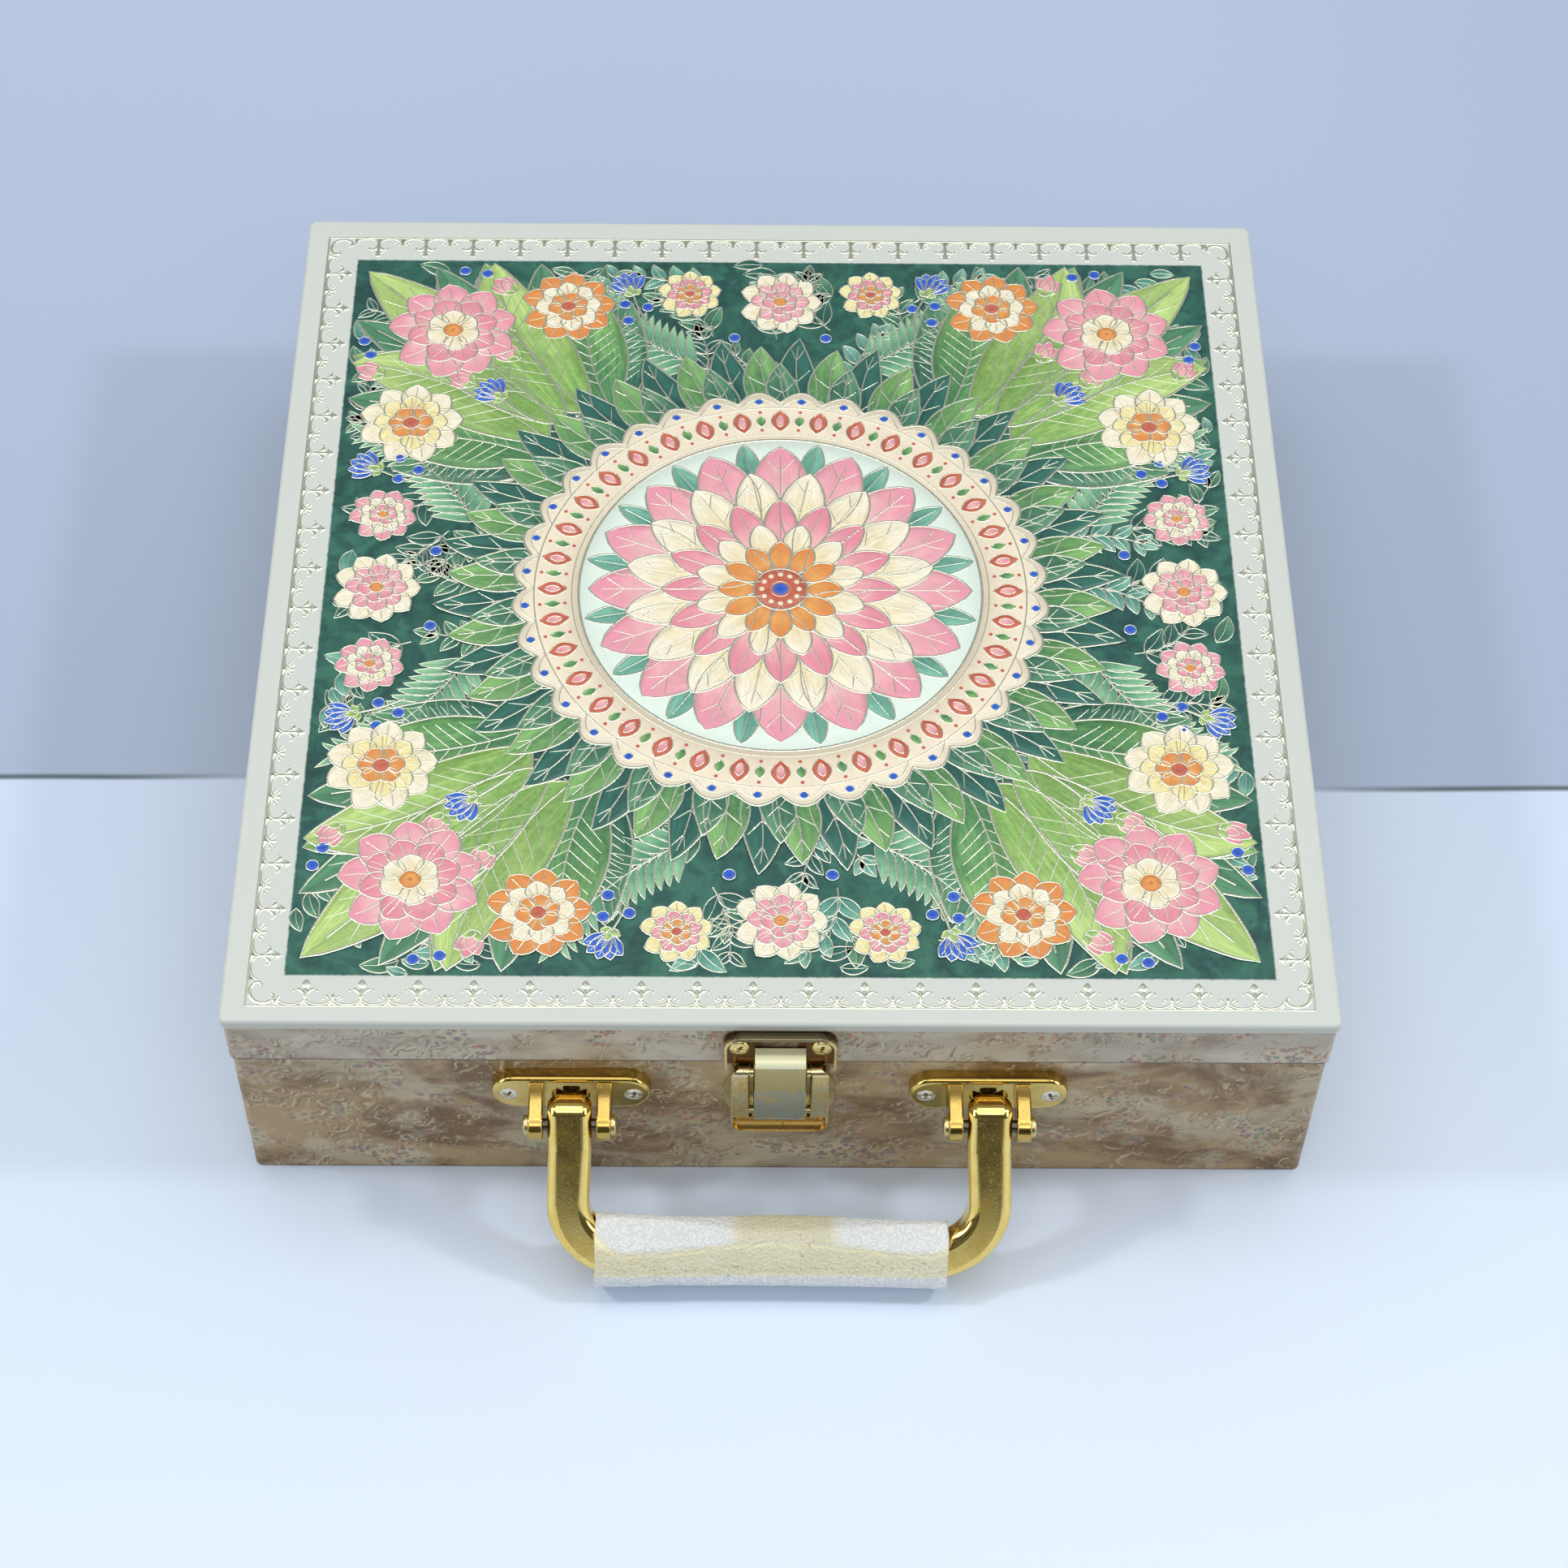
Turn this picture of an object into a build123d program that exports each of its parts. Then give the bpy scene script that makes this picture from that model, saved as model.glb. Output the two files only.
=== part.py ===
from build123d import *
from math import cos, radians, sin
import os

# A square gift box for sweets: a shallow tray of fibre board with a hinged lid, covered in
# printed paper, with a cast bail handle and a pressed brass draw latch on its front.
# Millimetres. The origin is the middle of the underside, +Z is up and the front faces -Y.

os.makedirs("parts", exist_ok=True)

# Box, measured over its paper
box_width = 254.0
box_depth = 256.0
box_height = 66.0
lid_height = 16.8
seam_gap = 0.2
board = 3.0
paper = 0.3
lining = 0.3
base_card = 0.5
top_overhang = 0.5
lid_overhang = 0.5
corner_radius = 2.0
top_edge_radius = 1.0
edge_band = 3.0

# Fits
pin_clearance = 0.05
face_clearance = 0.15
loose_clearance = 0.3
sink_angle = 45

# Rounding of round heads and pin tips, as shares of their height and radius
head_round_share = 0.6
pin_tip_share = 0.3

# Dividers
divider_top_drop = 9.5
divider_card = 1.5
divider_place_share = 1 / 6

# Back hinges
hinge_offset = 70.0
hinge_length = 25.0
hinge_sheet = 0.8
hinge_pin_radius = 0.75
hinge_body_drop = 13.0
hinge_lid_rise = 11.0
hinge_stand_off = 0.4
hinge_screw_pitch = 16.0
hinge_screw_radius = 1.0
hinge_screw_head = 1.7
hinge_screw_head_height = 0.9
hinge_screw_length = 3.2
hinge_corner = 1.0
knuckle_count = 5
body_knuckles = (0, 2, 4)
lid_knuckles = (1, 3)

# Handle brackets
bracket_offset = 48.3
bracket_length = 37.0
bracket_width = 12.2
bracket_thickness = 3.3
bracket_drop = 10.0
bracket_edge = 1.0
bracket_screw_pitch = 29.0
bracket_recess_width = 9.0
bracket_recess_height = 7.4
bracket_recess_depth = 1.6
bracket_hole_radius = 2.0
ear_gap = 12.3
ear_thickness = 3.4
ear_radius = 3.6
ear_root = 9.6
ear_reach = 8.2
ear_edge = 0.5
handle_screw_radius = 1.3
handle_screw_head = 2.25
handle_screw_length = 5.4
handle_screw_rise = 0.3

# Handle bail and its foam sleeve
bail_lean = 30.25
bail_width = 10.2
bail_thickness = 8.0
bail_splay = 1.35
eye_length = 5.0
bail_nose = 6.8
bail_outer_bend = 19.5
bail_inner_bend = 9.5
bail_edge = 2.6
grip_length = 68.0
grip_swell = 2.8
handle_pin_radius = 1.5
handle_pin_head = 2.5
handle_pin_head_height = 1.2
foam_length = 81.0
foam_shift = -1.0
foam_wall = 0.8
foam_left_radius = 8.9
foam_right_radius = 7.7
foam_fold_shares = (-0.12, 0.19)
foam_end_share = 0.5
foam_corner_share = 0.96
floor_clearance = 0.3

# Latch base, fixed to the tray. Drops and rises are from the tray's rim, or from the
# link's pin for what has to clear it
latch_sheet = 0.8
latch_width = 22.9
latch_plate_rise = 1.0
latch_plate_corner = 2.4
latch_bulge = 1.55
latch_bulge_inset = 0.5
latch_window_drop = 3.7
latch_window_top_drop = 5.0
latch_pin_radius = 0.75
latch_stub_length = 1.2
pivot_proud = 2.6
pivot_drop = 0.9
pivot_lug_radius = 1.3
pivot_lug_root = 4.2
latch_screw_radius = 1.0
latch_screw_head = 1.7
latch_screw_length = 3.6
latch_screw_across = 9.25
latch_screw_drops = (19.5, 6.5)

# Latch lever, a frame with two arms and a finger scoop
lever_drop = 8.8
lever_proud = 4.1
lever_corner = 3.4
lever_shoulder = 2.4
lever_edge = 0.5
arm_width = 4.35
lever_window_drop = 3.0
lever_window_chamfer = 0.8
scoop_height = 6.0
scoop_depth = 1.5
scoop_rim = 0.7
arm_pocket_rise = 2.2

# Latch tongue: the link on the lever's pin and the hook that it carries
link_width = 12.0
link_proud = 5.5
link_pin_proud = 3.3
link_pin_drop = 16.7
link_flange_depth = 3.5
link_top_drop = 4.6
link_corner = 2.0
hook_proud = 5.8
hook_width = 11.6
hook_neck_width = 9.8
hook_neck_rise = 3.7
hook_joggle = 1.1
hook_rise = 7.6
hook_reach = 4.2
hook_bend = 1.2

# Latch catch, fixed to the lid
catch_width = 26.0
catch_rise = 0.7
catch_height = 13.0
catch_corner = 4.5
catch_rim = 2.8
catch_edge = 0.35
shelf_width = 8.5
shelf_reach = 3.0
catch_window_height = 4.2
catch_screw_pitch = 18.8
catch_screw_rise = 7.6
catch_screw_radius = 1.0
catch_screw_head = 2.3
catch_screw_head_height = 1.3
catch_screw_length = 3.6

# Places that follow from the sizes
lid_rim = box_height - lid_height
body_height = lid_rim - seam_gap
lid_width = box_width - 2 * top_overhang
lid_depth = box_depth - 2 * top_overhang
body_width = lid_width - 2 * lid_overhang
body_depth = lid_depth - 2 * lid_overhang
board_corner = corner_radius - paper
top_board_bottom = box_height - edge_band
body_front = body_depth / 2
lid_front = lid_depth / 2
tray_width = body_width - 2 * (paper + board)
tray_depth = body_depth - 2 * (paper + board)
lid_room_width = lid_width - 2 * (paper + board)
lid_room_depth = lid_depth - 2 * (paper + board)
divider_foot = board + base_card
divider_height = body_height - divider_top_drop - divider_foot
bracket_height = body_height - bracket_drop
bail_tilt = radians(bail_lean)
bail_reach = (bracket_height - foam_left_radius - floor_clearance) / cos(bail_tilt)
link_pin_height = body_height - link_pin_drop
pivot_height = body_height - pivot_drop
lever_bottom = link_pin_height - lever_drop
lever_window_bottom = link_pin_height - lever_window_drop
arm_pocket_bottom = link_pin_height + arm_pocket_rise
latch_plate_bottom = lever_bottom + latch_plate_rise
latch_plate_top = pivot_height
latch_bulge_bottom = latch_plate_bottom + latch_bulge_inset
latch_bulge_top = latch_plate_top - latch_bulge_inset
latch_window_bottom = link_pin_height - latch_window_drop
latch_window_top = body_height - latch_window_top_drop
latch_screw_heights = [body_height - drop for drop in latch_screw_drops]
link_top = body_height - link_top_drop
hook_bottom = link_top + loose_clearance
hook_neck_bottom = link_pin_height + hook_neck_rise
hook_top = body_height + hook_rise
catch_bottom = body_height + catch_rise
catch_screw_height = catch_bottom + catch_screw_rise


def keep(piece, label):
    """Name a finished piece and write it to its own file."""
    piece.part.label = label
    export_step(piece.part, f"parts/{label}.step")


def front_plane(distance):
    """A plane that faces the front, this far in front of the middle of the box."""
    return Plane.XZ.offset(distance)


def bore(places, radius, from_distance, length):
    """Cut round holes towards the back, from a plane in front of the box's middle."""
    with BuildSketch(front_plane(from_distance)) as holes:
        with Locations(*places):
            Circle(radius)
    extrude(to_extrude=holes.sketch, amount=-length, mode=Mode.SUBTRACT)


def long_wall(width, depth, side, bottom, top):
    """A front (side -1) or back (side 1) board, a slice off the rounded outline."""
    with BuildPart() as wall:
        with BuildSketch(Plane.XY.offset(bottom)):
            RectangleRounded(width - 2 * paper, depth - 2 * paper, board_corner)
            with Locations((0, side * (depth / 2 - paper - board / 2))):
                Rectangle(width, board, mode=Mode.INTERSECT)
        extrude(amount=top - bottom)
    return wall


def short_wall(width, depth, side, bottom, top):
    """A left (side -1) or right (side 1) board, held between the front and the back."""
    with BuildPart() as wall:
        with BuildSketch(Plane.XY.offset(bottom)):
            with Locations((side * (width / 2 - paper - board / 2), 0)):
                Rectangle(board, depth - 2 * (paper + board))
        extrude(amount=top - bottom)
    return wall


def wrap_paper(width, depth, bottom, top, rim_bottom):
    """Printed paper round four walls, turned in over their rim."""
    with BuildPart() as wrap:
        with BuildSketch(Plane.XY.offset(bottom)):
            RectangleRounded(width, depth, corner_radius)
            RectangleRounded(width - 2 * paper, depth - 2 * paper, board_corner,
                             mode=Mode.SUBTRACT)
        extrude(amount=top - bottom)
        with BuildSketch(Plane.XY.offset(rim_bottom)):
            RectangleRounded(width, depth, corner_radius)
            Rectangle(width - 2 * (paper + board), depth - 2 * (paper + board),
                      mode=Mode.SUBTRACT)
        extrude(amount=paper)
    return wrap


def countersunk_screws(places, face, head_radius, shank_radius, length, rise):
    """Screws that point to the back, with cone heads let into a plane before the box."""
    with BuildPart() as screws:
        with BuildSketch(front_plane(face)) as heads:
            with Locations(*places):
                Circle(head_radius)
        extrude(amount=shank_radius - head_radius, taper=sink_angle)
        extrude(to_extrude=heads.sketch, amount=rise)
        fronts = screws.faces().sort_by(Axis.Y)[:len(places)]
        fillet(fronts.edges(), rise * head_round_share)
        with BuildSketch(front_plane(face)):
            with Locations(*places):
                Circle(shank_radius)
        extrude(amount=-length)
    return screws


def countersink(places, face, head_radius, shank_radius, thickness):
    """Holes through a plate for countersunk screws, from its front face to the back."""
    with BuildSketch(front_plane(face)) as mouths:
        with Locations(*places):
            Circle(head_radius + pin_clearance)
    extrude(to_extrude=mouths.sketch, amount=shank_radius - head_radius, taper=sink_angle,
            mode=Mode.SUBTRACT)
    bore(places, shank_radius + pin_clearance, face, thickness)


# Screw places, as the middle of each head across and up
bracket_screw_places = [(side * bracket_offset + end * bracket_screw_pitch / 2, bracket_height)
                        for side in (-1, 1) for end in (-1, 1)]
latch_screw_places = [(side * latch_screw_across, height)
                      for side in (-1, 1) for height in latch_screw_heights]
catch_screw_places = [(side * catch_screw_pitch / 2, catch_screw_height) for side in (-1, 1)]
hinge_pin_height = (body_height + lid_rim) / 2
hinge_knuckle_radius = hinge_pin_radius + pin_clearance + hinge_sheet
hinge_leaf_start = hinge_knuckle_radius + loose_clearance
body_leaf_middle = hinge_pin_height - (hinge_leaf_start + hinge_body_drop) / 2
lid_leaf_middle = hinge_pin_height + (hinge_leaf_start + hinge_lid_rise) / 2
hinge_screw_across = [side * hinge_offset + end * hinge_screw_pitch / 2
                      for side in (-1, 1) for end in (-1, 1)]
body_hinge_screw_places = [(across, body_leaf_middle) for across in hinge_screw_across]
lid_hinge_screw_places = [(across, lid_leaf_middle) for across in hinge_screw_across]
latch_screw_hole = latch_screw_radius + pin_clearance
catch_screw_hole = catch_screw_radius + pin_clearance
hinge_screw_hole = hinge_screw_radius + pin_clearance
handle_screw_hole = handle_screw_radius + pin_clearance

# Tray: base board, walls, paper and linings
with BuildPart() as base_board:
    with BuildSketch():
        Rectangle(tray_width, tray_depth)
    extrude(amount=board)
keep(base_board, "base_board")

wall_top = body_height - paper
front_wall = long_wall(body_width, body_depth, -1, 0, wall_top)
with front_wall:
    bore(bracket_screw_places, handle_screw_hole, body_front, board + paper)
    bore(latch_screw_places, latch_screw_hole, body_front, board + paper)
keep(front_wall, "front_wall_board")

back_wall = long_wall(body_width, body_depth, 1, 0, wall_top)
with back_wall:
    bore(body_hinge_screw_places, hinge_screw_hole, -body_front + board + paper, board + paper)
keep(back_wall, "back_wall_board")

for side_name, side in (("left", -1), ("right", 1)):
    side_wall = short_wall(body_width, body_depth, side, 0, wall_top)
    keep(side_wall, f"{side_name}_wall_board")

body_wrap = wrap_paper(body_width, body_depth, 0, body_height, wall_top)
with body_wrap:
    bore(bracket_screw_places, handle_screw_hole, body_front, paper)
    bore(latch_screw_places, latch_screw_hole, body_front, paper)
    bore(body_hinge_screw_places, hinge_screw_hole, -body_front + paper, paper)
keep(body_wrap, "body_wrap_paper")

with BuildPart() as body_lining:
    with BuildSketch(Plane.XY.offset(board)):
        Rectangle(tray_width, tray_depth)
        Rectangle(tray_width - 2 * lining, tray_depth - 2 * lining, mode=Mode.SUBTRACT)
    extrude(amount=wall_top - board)
keep(body_lining, "body_lining")

with BuildPart() as base_lining:
    with BuildSketch(Plane.XY.offset(board)):
        Rectangle(tray_width - 2 * lining, tray_depth - 2 * lining)
    extrude(amount=base_card)
keep(base_lining, "base_lining_card")

# Dividers: two slats each way, halved into each other, standing on the base card
room_width = tray_width - 2 * lining
room_depth = tray_depth - 2 * lining
slot_width = divider_card + 2 * face_clearance
slot_height = divider_height / 2 + face_clearance
across_places = [side * room_width * divider_place_share for side in (-1, 1)]
along_places = [side * room_depth * divider_place_share for side in (-1, 1)]

for slat_name, place in zip(("front", "back"), along_places):
    with BuildPart() as slat:
        with BuildSketch(front_plane(-place + divider_card / 2)):
            with Locations((0, divider_foot + divider_height / 2)):
                Rectangle(room_width - 2 * loose_clearance, divider_height)
            with Locations(*[(x, divider_foot + divider_height - slot_height / 2)
                             for x in across_places]):
                Rectangle(slot_width, slot_height, mode=Mode.SUBTRACT)
        extrude(amount=-divider_card)
    keep(slat, f"divider_{slat_name}")

for slat_name, place in zip(("left", "right"), across_places):
    with BuildPart() as slat:
        with BuildSketch(Plane.YZ.offset(place - divider_card / 2)):
            with Locations((0, divider_foot + divider_height / 2)):
                Rectangle(room_depth - 2 * loose_clearance, divider_height)
            with Locations(*[(y, divider_foot + slot_height / 2) for y in along_places]):
                Rectangle(slot_width, slot_height, mode=Mode.SUBTRACT)
        extrude(amount=divider_card)
    keep(slat, f"divider_{slat_name}")

# Lid: top board, walls, paper, top sheet and lining
lid_wall_bottom = lid_rim + paper
with BuildPart() as lid_top_board:
    with BuildSketch(Plane.XY.offset(top_board_bottom)):
        RectangleRounded(box_width - 2 * paper, box_depth - 2 * paper, board_corner)
    extrude(amount=edge_band - paper)
    fillet(lid_top_board.faces().sort_by(Axis.Z)[-1].edges(), top_edge_radius - paper)
keep(lid_top_board, "lid_top_board")

with BuildPart() as lid_top_sheet:
    with BuildSketch(Plane.XY.offset(top_board_bottom)):
        RectangleRounded(box_width, box_depth, corner_radius)
    extrude(amount=edge_band)
    fillet(lid_top_sheet.faces().sort_by(Axis.Z)[-1].edges(), top_edge_radius)
    add(lid_top_board.part, mode=Mode.SUBTRACT)
keep(lid_top_sheet, "lid_top_sheet")

lid_front_wall = long_wall(lid_width, lid_depth, -1, lid_wall_bottom, top_board_bottom)
with lid_front_wall:
    bore(catch_screw_places, catch_screw_hole, lid_front, board + paper)
keep(lid_front_wall, "lid_front_board")

lid_back_wall = long_wall(lid_width, lid_depth, 1, lid_wall_bottom, top_board_bottom)
with lid_back_wall:
    bore(lid_hinge_screw_places, hinge_screw_hole, -lid_front + board + paper, board + paper)
keep(lid_back_wall, "lid_back_board")

for side_name, side in (("left", -1), ("right", 1)):
    lid_side_wall = short_wall(lid_width, lid_depth, side, lid_wall_bottom, top_board_bottom)
    keep(lid_side_wall, f"lid_{side_name}_board")

lid_wrap = wrap_paper(lid_width, lid_depth, lid_rim, top_board_bottom, lid_rim)
with lid_wrap:
    bore(catch_screw_places, catch_screw_hole, lid_front, paper)
    bore(lid_hinge_screw_places, hinge_screw_hole, -lid_front + paper, paper)
keep(lid_wrap, "lid_side_paper")

with BuildPart() as lid_lining:
    with BuildSketch(Plane.XY.offset(lid_wall_bottom)):
        Rectangle(lid_room_width, lid_room_depth)
    extrude(amount=top_board_bottom - lid_wall_bottom)
    with BuildSketch(Plane.XY.offset(lid_wall_bottom)):
        Rectangle(lid_room_width - 2 * lining, lid_room_depth - 2 * lining)
    extrude(amount=top_board_bottom - lid_wall_bottom - lining, mode=Mode.SUBTRACT)
keep(lid_lining, "lid_lining")

# Back hinges: two butt hinges with five knuckles, rolled from sheet, on the outer faces
hinge_pin_back = lid_front + hinge_stand_off + hinge_knuckle_radius
knuckle_length = hinge_length / knuckle_count


def hinge_leaf(centre, wall_back, direction, length, own_knuckles, screw_places):
    """A leaf up (direction 1) or down (-1) a wall, joggled out to its rolled knuckles."""
    start = hinge_pin_height + direction * hinge_leaf_start
    end = hinge_pin_height + direction * length
    neck = hinge_knuckle_radius - hinge_sheet / 2
    with BuildPart() as leaf:
        with BuildSketch(front_plane(-wall_back)):
            with Locations((centre, (start + end) / 2)):
                RectangleRounded(hinge_length, abs(end - start), hinge_corner)
        extrude(amount=-hinge_sheet)
        for number in own_knuckles:
            low = centre - hinge_length / 2 + number * knuckle_length
            with BuildSketch(Plane.YZ.offset(low + face_clearance / 2)):
                with Locations((hinge_pin_back, hinge_pin_height)):
                    Circle(hinge_knuckle_radius)
                with Locations(((wall_back + hinge_pin_back) / 2,
                                hinge_pin_height + direction * neck)):
                    Rectangle(hinge_pin_back - wall_back, hinge_sheet)
                with Locations((wall_back + hinge_sheet / 2,
                                hinge_pin_height + direction * (neck + hinge_leaf_start) / 2)):
                    Rectangle(hinge_sheet, hinge_leaf_start - neck + hinge_corner * 2)
            extrude(amount=knuckle_length - face_clearance)
        with BuildSketch(Plane.YZ.offset(centre - hinge_length)):
            with Locations((hinge_pin_back, hinge_pin_height)):
                Circle(hinge_pin_radius + pin_clearance)
        extrude(amount=2 * hinge_length, mode=Mode.SUBTRACT)
        bore(screw_places, hinge_screw_hole, -wall_back, hinge_sheet)
    return leaf


for side_name, side in (("left", -1), ("right", 1)):
    centre = side * hinge_offset
    body_leaf = hinge_leaf(centre, body_front, -1, hinge_body_drop, body_knuckles,
                           body_hinge_screw_places)
    keep(body_leaf, f"hinge_{side_name}_body_leaf")
    lid_leaf = hinge_leaf(centre, lid_front, 1, hinge_lid_rise, lid_knuckles, lid_hinge_screw_places)
    keep(lid_leaf, f"hinge_{side_name}_lid_leaf")
    with BuildPart() as hinge_pin:
        with BuildSketch(Plane.YZ.offset(centre - hinge_length / 2)):
            with Locations((hinge_pin_back, hinge_pin_height)):
                Circle(hinge_pin_radius)
        extrude(amount=hinge_length)
        chamfer(hinge_pin.edges().filter_by(GeomType.CIRCLE), hinge_pin_radius * pin_tip_share)
    keep(hinge_pin, f"hinge_{side_name}_pin")

for wall_name, places, wall_back in (("body", body_hinge_screw_places, body_front),
                                     ("lid", lid_hinge_screw_places, lid_front)):
    with BuildPart() as hinge_screws:
        with BuildSketch(front_plane(-wall_back - hinge_sheet)):
            with Locations(*places):
                Circle(hinge_screw_head)
        extrude(amount=-hinge_screw_head_height)
        fillet(hinge_screws.faces().sort_by(Axis.Y)[-len(places):].edges(),
               hinge_screw_head_height * head_round_share)
        with BuildSketch(front_plane(-wall_back - hinge_sheet)):
            with Locations(*places):
                Circle(hinge_screw_radius)
        extrude(amount=hinge_screw_length)
    keep(hinge_screws, f"hinge_{wall_name}_screws")

# Handle brackets: a cast plate with two ears, and a recess and hole behind the bail's eye
bracket_front = body_front + bracket_thickness
handle_pin_front = bracket_front + ear_reach
ear_place = (ear_gap + ear_thickness) / 2
with BuildPart() as ear:
    with BuildSketch(Plane.YZ):
        with Locations((-handle_pin_front, bracket_height)):
            Circle(ear_radius)
        with Locations((ear_edge - bracket_front, bracket_height)):
            Rectangle(2 * ear_edge, ear_root)
        make_hull()
    extrude(amount=ear_thickness / 2, both=True)
    cheeks = ear.faces().filter_by(Plane.YZ)
    fillet(cheeks.edges(), ear_edge)

bracket_screws = countersunk_screws(bracket_screw_places, bracket_front, handle_screw_head,
                                    handle_screw_radius, handle_screw_length,
                                    handle_screw_rise)
keep(bracket_screws, "handle_bracket_screws")

for side_name, side in (("left", -1), ("right", 1)):
    centre = side * bracket_offset
    with BuildPart() as bracket:
        with BuildSketch(front_plane(body_front)):
            with Locations((centre, bracket_height)):
                SlotOverall(bracket_length, bracket_width)
        extrude(amount=bracket_thickness)
        fillet(bracket.faces().sort_by(Axis.Y)[0].edges(), bracket_edge)
        with BuildSketch(front_plane(bracket_front)):
            with Locations((centre, bracket_height)):
                SlotOverall(bracket_recess_width, bracket_recess_height)
        extrude(amount=-bracket_recess_depth, mode=Mode.SUBTRACT)
        bore([(centre, bracket_height)], bracket_hole_radius, bracket_front, bracket_thickness)
        with Locations(*[(centre + end * ear_place, 0, 0) for end in (-1, 1)]):
            add(ear.part)
        with BuildSketch(Plane.YZ.offset(centre - bracket_length / 2)):
            with Locations((-handle_pin_front, bracket_height)):
                Circle(handle_pin_radius + pin_clearance)
        extrude(amount=bracket_length, mode=Mode.SUBTRACT)
        own_places = [place for place in bracket_screw_places
                      if abs(place[0] - centre) < bracket_length]
        countersink(own_places, bracket_front, handle_screw_head, handle_screw_radius,
                    bracket_thickness)
    keep(bracket, f"handle_{side_name}_bracket")

    pin_half = ear_gap / 2 + ear_thickness
    with BuildPart() as handle_pin:
        with BuildSketch(Plane.YZ.offset(centre)):
            with Locations((-handle_pin_front, bracket_height)):
                Circle(handle_pin_radius)
        extrude(amount=pin_half, both=True)
        for end in (-1, 1):
            with BuildSketch(Plane.YZ.offset(centre + end * pin_half)):
                with Locations((-handle_pin_front, bracket_height)):
                    Circle(handle_pin_head)
            extrude(amount=end * handle_pin_head_height)
        ends = handle_pin.faces().sort_by(Axis.X)
        fillet(ends[0].edges() + ends[-1].edges(), handle_pin_head_height * head_round_share)
    keep(handle_pin, f"handle_{side_name}_pin")

# Bail: a flat U with softened edges, leaning out until the foam on its grip meets the floor
pin_origin = (0, -handle_pin_front, bracket_height)
reach_dir = Vector(0, -sin(bail_tilt), -cos(bail_tilt))
bail_normal = Vector(0, cos(bail_tilt), -sin(bail_tilt))
bail_plane = Plane(origin=pin_origin, x_dir=(1, 0, 0), z_dir=bail_normal)
handle_pin_axis = Axis(pin_origin, (1, 0, 0))
outer_top = bracket_offset + bail_width / 2
outer_bottom = outer_top + bail_splay
inner_top = bracket_offset - bail_width / 2
inner_bottom = inner_top + bail_splay
bar_outer = bail_reach + bail_width / 2
bar_inner = bail_reach - bail_width / 2

with BuildPart() as bail:
    with BuildSketch(bail_plane):
        with BuildLine():
            for side in (-1, 1):
                Line((side * inner_top, -bail_nose), (side * outer_top, -bail_nose))
                Line((side * outer_top, -bail_nose), (side * outer_top, eye_length))
                FilletPolyline((side * outer_top, eye_length), (side * outer_bottom, bar_outer),
                               (0, bar_outer), radius=bail_outer_bend)
                Line((side * inner_top, -bail_nose), (side * inner_top, eye_length))
                FilletPolyline((side * inner_top, eye_length),
                               (side * inner_bottom, bar_inner),
                               (side * grip_length / 2, bar_inner), radius=bail_inner_bend)
            Spline((-grip_length / 2, bar_inner), (0, bar_inner - grip_swell),
                   (grip_length / 2, bar_inner), tangents=((1, 0), (1, 0)))
        make_face()
    extrude(amount=bail_thickness / 2, both=True)
    cheeks = bail.faces().sort_by(Axis(pin_origin, bail_normal))
    nose_corners = bail.edges().filter_by(Axis(pin_origin, bail_normal))
    nose_corners = nose_corners.sort_by(Axis(pin_origin, reach_dir))[:4]
    fillet(cheeks[0].edges() + cheeks[-1].edges() + nose_corners, bail_edge)
    with BuildSketch(Plane.YZ):
        with Locations((-handle_pin_front, bracket_height)):
            Circle(handle_pin_radius + pin_clearance)
    extrude(amount=bracket_offset + bail_width, both=True, mode=Mode.SUBTRACT)
keep(bail, "handle_bail")

# Foam sleeve: a thin tube that hugs the grip and opens out at both ends
foam_gap = loose_clearance / 2
middle_size = (bail_width + grip_swell + 2 * (foam_gap + foam_wall),
               bail_thickness + 2 * (foam_gap + foam_wall),
               bail_edge + foam_gap + foam_wall)
left_size = (2 * foam_left_radius, 2 * foam_left_radius, foam_left_radius * foam_corner_share)
right_size = (2 * foam_right_radius, 2 * foam_right_radius,
              foam_right_radius * foam_corner_share)
foam_stations = [(-foam_end_share, 0, left_size), (foam_fold_shares[0], grip_swell / 2, middle_size),
                 (foam_fold_shares[1], grip_swell / 2, middle_size), (foam_end_share, 0, right_size)]


def foam_loft(inset, mode):
    """One skin of the sleeve, lofted straight from fold to fold round the grip."""
    with BuildPart() as skin:
        for share, rise, (length, width, corner) in foam_stations:
            across = foam_shift + share * foam_length
            middle = bail_plane.from_local_coords(Vector(across, bail_reach - rise, 0))
            with BuildSketch(Plane(origin=middle, x_dir=reach_dir, z_dir=(1, 0, 0))):
                RectangleRounded(length - 2 * inset, width - 2 * inset, corner - inset)
        loft(ruled=True)
    add(skin.part, mode=mode)


with BuildPart() as foam:
    foam_loft(0, Mode.ADD)
    foam_loft(foam_wall, Mode.SUBTRACT)
keep(foam, "handle_foam_sleeve")

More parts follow.
